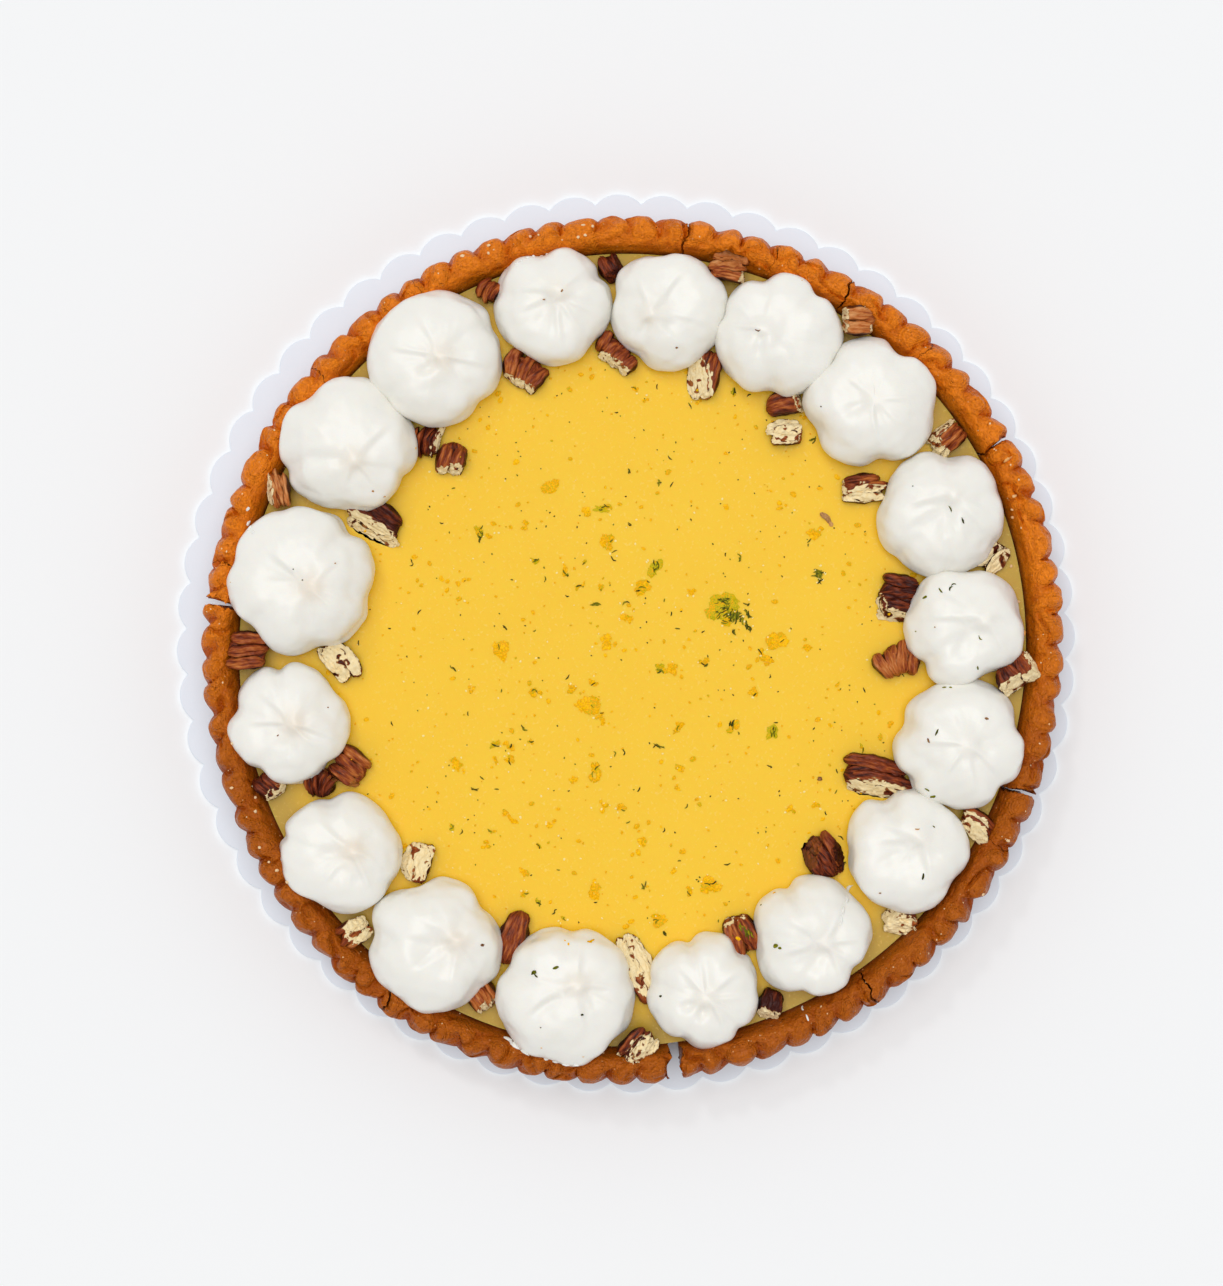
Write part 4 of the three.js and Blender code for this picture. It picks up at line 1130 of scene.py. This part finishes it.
def nut_lobe(form, middle, half, turn, arch, planes, tone, seed):
    """One lobe of a nut, shaped in place and added to the nut's form."""
    lobe = lobe_block()
    flesh, groove_shade, skin, lengthwise, crosswise = [lobe.verts.layers.float.new(look) for look in NUT_LOOKS]
    twist = Matrix.Rotation(turn, 3, "Z")
    luck = random.Random(seed)
    shy = [0.6 * luck.uniform(-1, 1) for _ in planes]
    for vert in lobe.verts:
        x, y, z = vert.co
        taper = 1 - 0.28 * x * x
        spot = Vector((x * half.x, y * half.y * taper, z * half.z * (1 - 0.18 * x * x)))
        around = math.atan2(y, z + 0.4) * half.y
        vert[lengthwise], vert[crosswise] = spot.x, around + seed
        wrinkled = Vector((spot.x / 4, spot.y, spot.z))
        lumps = 0.7 * rough(spot, 3.2, seed) + 0.25 * rough(wrinkled, 0.8, seed + 1)
        ridge = 2 * math.pi * around / RIDGE_PITCH + 4 * rough(spot, 3.5, seed + 5)
        lumps += RIDGE_HEIGHT * math.cos(ridge)
        spot += vert.co.normalized() * lumps
        spot = twist @ spot + middle
        spot.y += arch * (1 - (spot.x / (half.x + 0.01)) ** 2)
        # painted shade: darker along the sides where the lobes meet and on the underside
        vert[groove_shade] = max(rise(0.6, 0.95, abs(y)), 1 - rise(-0.4, 0.3, z))
        for (normal, far, pale, flat), step in zip(planes, shy):
            if flat:
                edge = far + 1.3 * rough(spot, 2.8, seed + 2) + 0.8 * rough(spot, 1.2, seed + 3)
                edge += 0.6 * step
            else:
                edge = far + step + 0.6 * rough(spot, 1.6, seed + 2) + 0.35 * rough(spot, 0.7, seed + 3)
            beyond = spot.dot(normal) - edge
            if beyond > 0:
                spot -= normal * beyond
                vert[flesh] = max(vert[flesh], pale)
                vert[groove_shade] *= 1 - pale
        vert[skin] = tone
        spot.z = max(spot.z, -NUT_FLAT * NUT_TALL / (1 + NUT_FLAT))
        vert.co = spot
    take_in(form, lobe)


def nut_form(number, bearing, reach, heading, long, wide, lift, tone, lobes, depth, arch, fan, breaks):
    luck = random.Random(700 + number)
    form = bmesh.new()
    tall = NUT_TALL / (1 + NUT_FLAT)
    planes = break_planes(heading, Vector((long / 2, wide / 2, tall)), breaks)
    core = Vector((long * 0.42, wide * 0.42, tall * max(0.92 - 0.12 * depth, 0.6)))
    nut_lobe(form, Vector((0, 0, -0.3)), core, 0.0, 0.0, planes, tone - 0.1, 11.0 * number)
    for lobe in range(lobes):
        aside = (lobe + 0.5) / lobes * 2 - 1
        half = Vector((
            long / 2 * luck.uniform(0.84, 1.02) * (1 - 0.12 * aside * aside),
            wide / lobes / 2 * luck.uniform(1.12, 1.3),
            tall * luck.uniform(0.9, 1.04) * (1 - 0.22 * aside * aside),
        ))
        middle = Vector((
            luck.uniform(-0.09, 0.09) * long, aside * (wide / 2 - 0.15), luck.uniform(-0.3, 0.3),
        ))
        turn = fan * aside * 0.8 + luck.uniform(-0.16, 0.16)
        nut_lobe(
            form, middle, half, turn, arch * wide * 0.2, planes,
            tone + luck.uniform(-0.08, 0.1), 11.0 * number + lobe + 1,
        )
    bmesh.ops.rotate(form, cent=(0, 0, 0), matrix=turn_by(heading), verts=form.verts)
    place = place_at(bearing, reach, CURD_TOP - 0.1 + lift + NUT_FLAT * tall)
    bmesh.ops.translate(form, vec=place, verts=form.verts)
    return form


# %% [markdown]
# The skin of a pecan is dry and thin, from tan to a dark maroon, with fine grain along
# the ridges. The grooves between the lobes and the undersides of the lobes get painted
# shade. The flesh is cream and granular. A pecan is folded like a small brain, so a break
# through it leaves islands of brown skin, each with a tan edge, and the cream shows as
# rounded, winding lumps between them.

# %% Pecans: skin and flesh
def pecan_skin_and_flesh():
    material, tree, shader, where = start_material(
        "pecan_skin_and_flesh", {"Roughness": 0.3, "IOR": 1.47, "Specular IOR Level": 0.16},
    )
    flesh, groove_shade, tone, lengthwise, crosswise = [
        add_node(tree, "ShaderNodeAttribute", attribute_name=look).outputs["Fac"] for look in NUT_LOOKS
    ]
    grain = add_node(
        tree, "ShaderNodeTexNoise",
        {"Vector": where, "Scale": lumps_of(1.2), "Detail": 4.0, "Roughness": 0.65},
    ).outputs["Fac"]
    on_lobe = add_node(tree, "ShaderNodeCombineXYZ", {"X": crosswise, "Y": lengthwise}).outputs[0]
    drawn_out = add_node(
        tree, "ShaderNodeMapping", {"Vector": on_lobe, "Scale": (1 / 0.8, 1 / 6.0, 1.0)},
    ).outputs[0]
    fibres = add_node(
        tree, "ShaderNodeTexNoise", {"Vector": drawn_out, "Scale": 1.0, "Detail": 3.0, "Roughness": 0.6},
    ).outputs["Fac"]
    varied = add_node(
        tree, "ShaderNodeMapRange",
        {"Value": fibres, "From Min": 0.3, "From Max": 0.7, "To Min": -0.34, "To Max": 0.34},
    ).outputs["Result"]
    mixed_tone = add_node(tree, "ShaderNodeMath", {0: tone, 1: varied}, operation="ADD").outputs[0]
    browns = add_node(
        tree, "ShaderNodeValToRGB", {"Fac": mixed_tone},
        stops=[[0.0, "3C130D"], [0.35, "8A3C1C"], [0.65, "BC6A30"], [1.0, "E0A268"]],
    ).outputs["Color"]
    # painted shade in the folds between the lobes and under them
    deep = add_node(
        tree, "ShaderNodeMapRange",
        {"Value": groove_shade, "From Min": 0.1, "From Max": 0.9, "To Min": 0.0, "To Max": 0.85},
    ).outputs["Result"]
    lined = add_node(
        tree, "ShaderNodeMix",
        {MIX_FACTOR: deep, MIX_A: browns, MIX_B: linear("2A0C07")}, data_type="RGBA",
    ).outputs[MIX_RESULT]
    cream = add_node(
        tree, "ShaderNodeMix",
        {MIX_FACTOR: grain, MIX_A: linear("F4D28C"), MIX_B: linear("FFF6D4")}, data_type="RGBA",
    ).outputs[MIX_RESULT]
    folds_cut = add_node(
        tree, "ShaderNodeTexNoise",
        {"Vector": where, "Scale": lumps_of(4.0), "Detail": 1.5, "Roughness": 0.5, "Distortion": 0.6},
    ).outputs["Fac"]
    skinless = add_node(
        tree, "ShaderNodeMapRange",
        {"Value": folds_cut, "From Min": 0.6, "From Max": 0.67, "To Min": 1.0, "To Max": 0.0},
    ).outputs["Result"]
    bare = add_node(tree, "ShaderNodeMath", {0: flesh, 1: skinless}, operation="MULTIPLY").outputs[0]
    torn_edge = add_node(
        tree, "ShaderNodeMapRange", {"Value": bare, "From Min": 0.08, "From Max": 0.45},
    ).outputs["Result"]
    edged = add_node(
        tree, "ShaderNodeMix",
        {MIX_FACTOR: torn_edge, MIX_A: lined, MIX_B: linear("B4743A")}, data_type="RGBA",
    ).outputs[MIX_RESULT]
    broken = add_node(
        tree, "ShaderNodeMapRange", {"Value": bare, "From Min": 0.5, "From Max": 0.75},
    ).outputs["Result"]
    nut = add_node(
        tree, "ShaderNodeMix", {MIX_FACTOR: broken, MIX_A: edged, MIX_B: cream}, data_type="RGBA",
    ).outputs[MIX_RESULT]
    tree.links.new(nut, shader.inputs["Base Color"])
    granular = add_node(
        tree, "ShaderNodeBump", {"Height": grain, "Strength": 0.5, "Distance": 0.0004},
    ).outputs["Normal"]
    ridged = add_node(
        tree, "ShaderNodeBump", {"Height": fibres, "Strength": 0.7, "Distance": 0.0006, "Normal": granular},
    ).outputs["Normal"]
    torn = add_node(
        tree, "ShaderNodeBump", {"Height": broken, "Strength": 0.8, "Distance": 0.0007, "Normal": ridged},
    ).outputs["Normal"]
    tree.links.new(torn, shader.inputs["Normal"])
    return material


pecan = pecan_skin_and_flesh()
for number, nut in enumerate(NUTS, 1):
    finish_piece(
        nut_form(number, *nut), f"nut_{number:02d}", [pecan], [f"pecan_{number:02d}"], crease=60,
    )

# %% [markdown]
# ## What lies scattered: finding the ground
#
# Zest, bubbles, crumbs and smears lie on whatever is under them: curd, meringue or crust.
# Their heights could be worked out from each piece's own formulas. It is simpler to let a
# ray fall from above onto the finished pieces: it gives the height and the slope at once.
# All of them are small rough lumps, so one function makes a round crumb, a flake or a
# long bent shred.

# %% Scattered: a ray from above and one small lump
bpy.context.view_layer.update()
layers_below = bpy.context.evaluated_depsgraph_get()


def ground_at(x, y):
    """The highest point under a place and the way it faces, in the tart's millimetres."""
    start = (Vector((x, y, 120)) + TART_MIDDLE) * MM
    found, point, normal, *_ = bpy.context.scene.ray_cast(layers_below, start, Vector((0, 0, -1)))
    return point / MM - TART_MIDDLE, normal


def add_lump(form, x, y, long, wide, thick, heading, tone, luck, bend=0.0, sink=0.35, ragged=0.5):
    """A rough lump on the ground at a place, with its tone as an attribute."""
    lump = bmesh.new()
    bmesh.ops.create_icosphere(lump, subdivisions=2, radius=1)
    shade = lump.verts.layers.float.new("tone")
    seed = luck.uniform(0, 500)
    for vert in lump.verts:
        across, aside, up = vert.co
        swell = 1 + ragged * rough(vert.co, 0.7, seed)
        vert.co = Vector((
            across * long / 2 * swell, aside * wide / 2 * swell + bend * long * (across * across - 0.4),
            up * thick / 2 * swell + thick * (0.5 - sink),
        ))
        vert[shade] = tone
    point, normal = ground_at(x, y)
    upright = Vector((0, 0, 1)).rotation_difference(normal).to_matrix()
    bmesh.ops.rotate(lump, cent=(0, 0, 0), matrix=upright @ turn_by(heading), verts=lump.verts)
    bmesh.ops.translate(lump, vec=point, verts=lump.verts)
    take_in(form, lump)


print("height of the curd in the middle:", round(ground_at(0, 0)[0].z, 2))

# %% [markdown]
# ## Grated zest
#
# Grated lemon zest sinks a little into the warm curd and leaves golden shreds, and lime
# zest gives dark green, curled ones. The larger ones are listed, each as a small
# heap: how long and wide it is, which way it lies and how green it is. The dust of the
# grater is thrown over the curd with a seeded random.

# %% Zest: the larger shreds
VIEW_MIDDLE = (625.9, 643.5)  # the card's centre in the camera's view, in pixels across and down
VIEW_PIXEL = (0.3363, 0.3315)  # millimetres that a pixel spans on the card, across and down
CARD_DISTANCE = CAMERA_HEIGHT - CARD_THICKNESS
SHREDS_SEEN = [  # across, down, long and wide in pixels of the camera's view, then heading and green
    [607, 541, 14, 12, 80, 0.05], [655, 567, 18, 9, 70, 0.45], [640, 588, 15, 13, 0, 0.08],
    [690, 591, 8, 7, 30, 0], [626, 618, 11, 7, 0, 0], [738, 558, 9, 4, 88, 0.9],
    [726, 604, 18, 16, 0, 0.45], [731, 614, 22, 18, 60, 0.6], [727, 621, 12, 10, 0, 0.3],
    [745, 614, 12, 6, -45, 0.8], [744, 624, 13, 5, -75, 0.7], [815, 573, 15, 9, -40, 0.8],
    [818, 578, 12, 7, 60, 0.85], [820, 572, 11, 4, 10, 0.9], [811, 533, 13, 8, -28, 0],
    [776, 640, 17, 13, 20, 0.02], [760, 650, 9, 6, -65, 0.15], [766, 661, 14, 7, -45, 0],
    [751, 691, 11, 11, 0, 0.03], [670, 669, 12, 10, 0, 0], [659, 669, 8, 11, 0, 0.35],
    [703, 663, 9, 6, 0, 0.1], [705, 665, 7, 2, 75, 0.95], [732, 727, 13, 10, 90, 0.3],
    [772, 733, 14, 9, 80, 0.5], [676, 730, 16, 4, 38, 0.05], [657, 747, 15, 4, 4, 0.8],
    [607, 643, 14, 8, -65, 0], [594, 682, 9, 8, 0, 0.1], [807, 650, 11, 6, -35, 0],
    [549, 485, 16, 12, 5, 0], [586, 511, 10, 7, 10, 0], [603, 507, 17, 5, 3, 0.4],
    [480, 529, 10, 8, 90, 0.3], [481, 536, 12, 6, 85, 0.6], [490, 535, 9, 5, 20, 0],
    [525, 525, 9, 7, -70, 0], [500, 650, 16, 14, 80, 0.03], [565, 570, 14, 4, 85, 0.1],
    [567, 575, 6, 3, 75, 0.95], [579, 586, 15, 3, 36, 0.15], [600, 588, 8, 5, 70, 0.2],
    [594, 604, 14, 3, 8, 0.7], [625, 602, 8, 4, -10, 0.7], [612, 558, 8, 2, -38, 0.8],
    [628, 469, 8, 2, -62, 0.95], [659, 481, 7, 4, 50, 0.95], [630, 524, 7, 3, -55, 0.9],
    [584, 563, 7, 4, 60, 0.3], [537, 560, 11, 4, 0, 0.4], [504, 627, 8, 2, -30, 0.95],
    [454, 668, 13, 2, -32, 0.8], [588, 706, 19, 15, -10, 0.02], [600, 715, 12, 5, 35, 0.05],
    [603, 722, 8, 5, -60, 0], [536, 693, 11, 9, 0, 0.15], [571, 690, 9, 8, 0, 0],
    [472, 690, 8, 6, 0, 0], [455, 763, 14, 9, -30, 0], [495, 745, 10, 5, 10, 0.35],
    [509, 747, 10, 8, -70, 0.05], [496, 760, 8, 6, -35, 0], [510, 760, 9, 6, -38, 0.05],
    [530, 742, 9, 3, -35, 0.25], [524, 729, 10, 2, -60, 0.85], [571, 779, 10, 7, -40, 0],
    [594, 768, 10, 8, 80, 0.15], [595, 777, 12, 9, 80, 0.05], [476, 790, 12, 2, 18, 0.6],
    [615, 755, 8, 2, -80, 0.9], [604, 805, 9, 7, 0, 0], [622, 809, 10, 6, -20, 0.05],
    [642, 842, 10, 7, -60, 0], [506, 814, 8, 6, -60, 0], [514, 821, 12, 5, -38, 0.02],
    [492, 833, 8, 3, -10, 0.2], [488, 845, 10, 5, -65, 0.03], [453, 827, 9, 4, 80, 0.5],
    [539, 848, 8, 3, -70, 0.3], [552, 825, 9, 8, 0, 0], [524, 875, 11, 5, -32, 0],
    [595, 893, 15, 9, 80, 0], [526, 896, 8, 5, -10, 0.2], [539, 904, 9, 3, -65, 0.5],
    [555, 914, 6, 5, 30, 0.8], [563, 921, 7, 3, -60, 0.4], [643, 887, 9, 4, 70, 0.85],
    [660, 922, 18, 9, 28, 0.03], [655, 924, 9, 3, 60, 0.8], [663, 935, 7, 2, -10, 0.95],
    [590, 940, 10, 3, 5, 0], [682, 770, 8, 7, 0, 0], [677, 787, 8, 5, 80, 0],
    [697, 803, 8, 4, -75, 0.05], [789, 811, 9, 8, 0, 0], [815, 807, 7, 4, -40, 0.05],
    [710, 886, 17, 14, 0, 0.1], [687, 893, 9, 6, -50, 0.1], [683, 855, 8, 6, -50, 0],
    [861, 750, 9, 3, -65, 0.3], [634, 387, 8, 6, -20, 0.1], [645, 398, 7, 6, 0, 0],
    [689, 404, 6, 4, -70, 0.95], [698, 401, 7, 4, 20, 0.02], [732, 391, 11, 4, 75, 0.55],
    [811, 439, 9, 4, 25, 0.7], [780, 506, 9, 8, -20, 0], [746, 933, 14, 8, -70, 0.8],
    [739, 928, 9, 4, -60, 0.9], [724, 451, 7, 3, -40, 0.02], [722, 605, 26, 20, 0, 0.35],
    [716, 614, 14, 10, 20, 0.4], [737, 618, 18, 12, 50, 0.75], [748, 627, 12, 5, -60, 0.85],
    [733, 632, 8, 5, -70, 0.8], [745, 604, 8, 4, 20, 0.7],
]


def seen_at(across, down, height):
    """The place at a height, east and north of the tart's middle, that a pixel of the view shows."""
    nearer = (CAMERA_HEIGHT - height) / CARD_DISTANCE
    east = (across - VIEW_MIDDLE[0]) * VIEW_PIXEL[0] * nearer
    north = (VIEW_MIDDLE[1] - down) * VIEW_PIXEL[1] * nearer
    return east - TART_MIDDLE.x, north - TART_MIDDLE.y


ZEST = [
    [*seen_at(across, down, CURD_TOP), long * VIEW_PIXEL[0], wide * VIEW_PIXEL[0], heading, green]
    for across, down, long, wide, heading, green in SHREDS_SEEN
]
ZEST_DUST = 430
LIME_DUST = 240
STRAY_SHARE = 0.12  # the share of the dust that may stay on a rosette or a nut


def scatter_place(luck):
    """A random place on the open curd, or now and then on what stands round it."""
    place = place_at(luck.uniform(0, 360), 100 * math.sqrt(luck.random()))
    while ground_at(place.x, place.y)[0].z > CURD_TOP + 1 and luck.random() > STRAY_SHARE:
        place = place_at(luck.uniform(0, 360), 100 * math.sqrt(luck.random()))
    return place


def zest_forms():
    luck = random.Random(41)
    lemon, lime = bmesh.new(), bmesh.new()
    for x, y, long, wide, heading, green in ZEST:
        turn = turn_by(heading)
        if green < 0.6:
            for _ in range(1 + round(long * wide / 1.7)):
                aside = turn @ Vector((luck.uniform(-0.4, 0.4) * long, luck.uniform(-0.4, 0.4) * wide, 0))
                size = luck.uniform(0.3, 0.65)
                add_lump(
                    lemon, x + aside.x, y + aside.y, long * size,
                    min(wide * size, long * size * 0.6) + 0.25, luck.uniform(0.25, 0.5),
                    heading + luck.uniform(-50, 50), green * 0.45 + luck.uniform(0, 0.2), luck,
                    bend=luck.uniform(-0.25, 0.25), ragged=0.9,
                )
        for _ in range(math.ceil(green * long * max(wide, 0.7) * 0.8 - 0.2)):
            aside = turn @ Vector((luck.uniform(-0.25, 0.25) * long, luck.uniform(-0.35, 0.35) * wide, 0))
            add_lump(
                lime, x + aside.x, y + aside.y, luck.uniform(0.45, 0.85) * min(long, 3.2),
                luck.uniform(0.35, 0.6), 0.5, heading + luck.uniform(-45, 45), luck.uniform(0.2, 1), luck,
                bend=luck.uniform(-0.3, 0.3), sink=0.2,
            )
    for _ in range(ZEST_DUST):
        place = scatter_place(luck)
        long = luck.uniform(0.5, 1.2) if luck.random() < 0.75 else luck.uniform(1.2, 2.4)
        add_lump(
            lemon, place.x, place.y, long, long * 0.7, 0.3, luck.uniform(0, 180), luck.uniform(0, 0.2), luck,
        )
    for _ in range(LIME_DUST):
        place = scatter_place(luck)
        long = luck.uniform(0.35, 0.8) if luck.random() < 0.75 else luck.uniform(0.9, 2.2)
        add_lump(
            lime, place.x, place.y, long, 0.42, 0.35, luck.uniform(0, 180), luck.uniform(0.3, 1), luck,
            bend=luck.uniform(-0.3, 0.3),
        )
    return lemon, lime


# %% [markdown]
# Wet zest is smooth and glossy. Lemon zest runs from golden to olive where lime juice
# coloured it, lime zest from olive to a green that is nearly black where it is thick.

# %% Zest: wet peel
def wet_peel(name, stops):
    material, tree, shader, where = start_material(
        name, {"Roughness": 0.3, "IOR": 1.42, "Specular IOR Level": 0.08},
    )
    tone = add_node(tree, "ShaderNodeAttribute", attribute_name="tone").outputs["Fac"]
    fibre = add_node(tree, "ShaderNodeTexNoise", {"Vector": where, "Scale": lumps_of(0.5), "Detail": 2.0})
    varied = add_node(
        tree, "ShaderNodeMapRange",
        {"Value": fibre.outputs["Fac"], "From Min": 0.3, "From Max": 0.7, "To Min": -0.2, "To Max": 0.2},
    ).outputs["Result"]
    mixed = add_node(tree, "ShaderNodeMath", {0: tone, 1: varied}, operation="ADD").outputs[0]
    colour = add_node(tree, "ShaderNodeValToRGB", {"Fac": mixed}, stops=stops).outputs["Color"]
    tree.links.new(colour, shader.inputs["Base Color"])
    return material


lemon_form, lime_form = zest_forms()
lemon_peel = wet_peel(
    "wet_lemon_peel", [[0.0, "FFC600"], [0.12, "F6A600"], [0.3, "CFB808"], [0.7, "8C860A"]],
)
lime_peel = wet_peel("wet_lime_peel", [[0.1, "A29A14"], [0.5, "6C6C12"], [0.9, "36380C"]])
finish_piece(lemon_form, "zest_lemon", [lemon_peel])
finish_piece(lime_form, "zest_lime", [lime_peel])

# %% [markdown]
# ## Bubbles and glints in the curd
#
# Pouring leaves small bubbles, and at this distance each one is a pale bright speck. Half
# of the specks lie beside the zest instead, as painted glints of the wet peel.

# %% Bubbles and painted glints: pale specks
BUBBLES_AND_GLINTS = 190


def bubble_and_glint_form():
    luck = random.Random(43)
    form = bmesh.new()
    for number in range(BUBBLES_AND_GLINTS):
        place = scatter_place(luck)
        # painted glints: every other speck lies beside a shred of zest
        if number % 2:
            x, y, long, wide, *_ = luck.choice(ZEST)
            place = Vector((x, y, 0)) + place_at(luck.uniform(0, 360), 0.4 + 0.5 * long)
        size = luck.uniform(0.35, 0.75)
        add_lump(
            form, place.x, place.y, size * 1.25, size, 0.3, luck.uniform(0, 180), 0.0, luck, ragged=0.2,
        )
    return form


curd_foam_and_glints, *_ = start_material("curd_foam_and_glints", {"Base Color": linear("FFE894"), "Roughness": 0.2, "IOR": 1.4})
finish_piece(bubble_and_glint_form(), "curd_bubbles_and_glints", [curd_foam_and_glints])

# %% [markdown]
# ## Crumbs, specks and smears
#
# Nobody grates and crumbles over a pie without dropping some on its meringue and its rim.
# These are the small things that make it look made by hand: green and brown specks on the
# rosettes, flour and pale crumbs on the crust, chips of nut on the curd, and smears of
# foam where a rosette touched the rim. They are listed, like the zest.

# %% Crumbs: the lists
ROSETTE_SHOULDER = 40.0  # about how high the specks on the rosettes lie
RIM_HEIGHT = 32.0
GREEN_SPECKS = [  # across, down, long and wide in pixels of the camera's view, then heading and tone
    [947, 508, 9, 3, -65, 0.7], [959, 520, 9, 3, -70, 0.9], [938, 590, 8, 3, -60, 0.6],
    [948, 588, 8, 3, 60, 0.8], [951, 584, 7, 2, 20, 0.8], [923, 597, 7, 4, 20, 0.5],
    [977, 638, 7, 2, -50, 0.5], [975, 668, 5, 3, -70, 0.6], [943, 688, 5, 3, 0, 0.4],
    [949, 688, 4, 3, 0, 0.4], [933, 733, 8, 3, 65, 0.8], [931, 798, 8, 5, 20, 0.5],
    [925, 791, 7, 3, -30, 0.5], [931, 828, 4, 2, -40, 0.6], [920, 878, 8, 4, 80, 0.95],
    [534, 974, 9, 7, 30, 0.7], [536, 977, 7, 3, -40, 0.8], [556, 969, 8, 5, 20, 0.55],
    [774, 948, 8, 7, 30, 0.4], [778, 950, 5, 4, 0, 0.5], [582, 1016, 4, 4, 0, 1],
    [660, 1000, 4, 4, 0, 1], [541, 1029, 2, 2, 0, 1], [297, 569, 2, 2, 0, 1],
    [306, 580, 2, 2, 0, 1], [910, 485, 2, 2, 0, 1],
]
BROWN_SPECKS = [
    [562, 289, 4, 3, 60, 0.5], [544, 297, 3, 2, 0, 0.5], [676, 345, 3, 3, 0, 0.3],
    [756, 329, 7, 2, 0, 0.2], [983, 719, 5, 4, -10, 0.4], [925, 741, 6, 3, -70, 0.3],
    [914, 830, 6, 2, 0, 0.8], [932, 627, 2, 2, 0, 0.5], [483, 947, 5, 4, 0, 0.1],
    [338, 563, 2, 2, 0, 0.5], [374, 490, 3, 3, 0, 0.7], [385, 495, 3, 2, 0, 0.7],
    [280, 736, 3, 2, 40, 0.4], [329, 708, 2, 2, 0, 0.4], [878, 895, 3, 2, 0, 0.3],
]
NUT_CHIPS = [[824, 517, 15, 6, -45, 0.6], [829, 523, 6, 4, -60, 0.9], [818, 780, 5, 4, 0, 0.35]]
RIM_CRUMBS = [
    [1004, 458, 9, 5, 35, 0.8], [1011, 495, 5, 3, 20, 0.6], [1010, 508, 4, 2, 0, 0.4],
    [1011, 516, 5, 3, 10, 0.5], [1011, 565, 3, 3, 0, 0.3], [1018, 601, 4, 3, 0, 0.3],
    [1022, 633, 8, 5, 30, 1], [1005, 842, 4, 3, 0, 0.1], [980, 896, 3, 3, 0, 0.1],
    [583, 222, 4, 2, 0, 0.1], [592, 223, 4, 3, 30, 0.1], [585, 232, 3, 3, 0, 0.1],
    [578, 234, 3, 3, 0, 0.1], [530, 233, 3, 3, 0, 0.1], [539, 232, 2, 2, 0, 0.1],
    [463, 253, 4, 3, 0, 0.1], [489, 242, 4, 3, 0, 0.1], [489, 250, 3, 3, 0, 0.1],
    [256, 799, 3, 3, 0, 0.1], [234, 789, 4, 3, 0, 0.2], [257, 813, 3, 3, 0, 0.1],
    [262, 849, 3, 3, 0, 0.1], [271, 864, 4, 3, 0, 0.2], [279, 872, 4, 3, 0, 0.2],
    [290, 883, 5, 3, 0, 0.2], [236, 744, 3, 3, 0, 0.1],
]
SMEARS = [
    [508, 1043, 10, 5, -35, 0], [516, 1049, 12, 6, -30, 0], [525, 1055, 10, 5, -25, 0],
    [511, 1046, 8, 3, -60, 0], [546, 1062, 6, 2, -12, 0], [556, 1065, 7, 2, -10, 0],
    [566, 1067, 7, 2, -5, 0], [576, 1067, 6, 2, 10, 0], [517, 262, 4, 3, 20, 0],
    [522, 259, 3, 3, 20, 0], [528, 256, 4, 3, 20, 0], [534, 254, 3, 3, 20, 0],
    [541, 252, 4, 3, 15, 0], [547, 250, 3, 3, 15, 0], [250, 522, 6, 4, 50, 0],
    [254, 528, 6, 3, 60, 0], [258, 532, 4, 3, 40, 0], [250, 508, 5, 3, 50, 0],
    [315, 902, 5, 3, -40, 0], [802, 1013, 8, 2, -65, 0], [806, 1021, 8, 2, -65, 0],
    [849, 892, 10, 3, 60, 0], [844, 901, 10, 3, 62, 0], [840, 911, 10, 3, 70, 0],
    [837, 921, 9, 3, 75, 0],
]
FLOUR_DUST = 70


# %% Crumbs: lay them down
def lay_seen(form, rows, height, luck, thick=0.5, slim=1.0):
    """Lumps at listed places of the view, on ground that lies about at a height."""
    for across, down, long, wide, heading, tone in rows:
        x, y = seen_at(across, down, height)
        add_lump(
            form, x, y, long * VIEW_PIXEL[0] * blend(slim, 1, 0.5), wide * VIEW_PIXEL[0] * slim, thick,
            heading, tone, luck, bend=luck.uniform(-0.3, 0.3) if long > 2 * wide else 0.0,
        )


def dust_rim(form, luck):
    """Fine flour and sugar all round the crown of the rim."""
    for _ in range(FLOUR_DUST):
        place = place_at(luck.uniform(0, 360), luck.uniform(WALL_RADIUS + 2, BEAD_RADIUS - 2))
        size = luck.uniform(0.3, 0.6)
        add_lump(
            form, place.x, place.y, size * 1.3, size, 0.3, luck.uniform(0, 180), luck.uniform(0, 0.4), luck,
        )


def lay_crumbs():
    luck = random.Random(47)
    greens, browns, chips, crumbs, smears = [bmesh.new() for _ in range(5)]
    lay_seen(greens, GREEN_SPECKS, ROSETTE_SHOULDER, luck, slim=0.55)
    lay_seen(browns, BROWN_SPECKS, ROSETTE_SHOULDER, luck, slim=0.65)
    lay_seen(chips, NUT_CHIPS, CURD_TOP, luck, thick=1.6)
    lay_seen(crumbs, RIM_CRUMBS, RIM_HEIGHT, luck, thick=0.9)
    lay_seen(smears, SMEARS, RIM_HEIGHT, luck, thick=0.7)
    dust_rim(crumbs, luck)
    nut_crumb = wet_peel("pecan_crumb", [[0.0, "4A160C"], [1.0, "D9A468"]])
    pale_crumb = wet_peel("flour_and_crumb", [[0.0, "F2D6AC"], [1.0, "E8A24E"]])
    finish_piece(greens, "specks_lime", [lime_peel])
    finish_piece(browns, "specks_pecan", [nut_crumb])
    finish_piece(chips, "pecan_chips", [nut_crumb])
    finish_piece(crumbs, "crust_crumbs", [pale_crumb])
    finish_piece(smears, "meringue_smears", [meringue])


lay_crumbs()
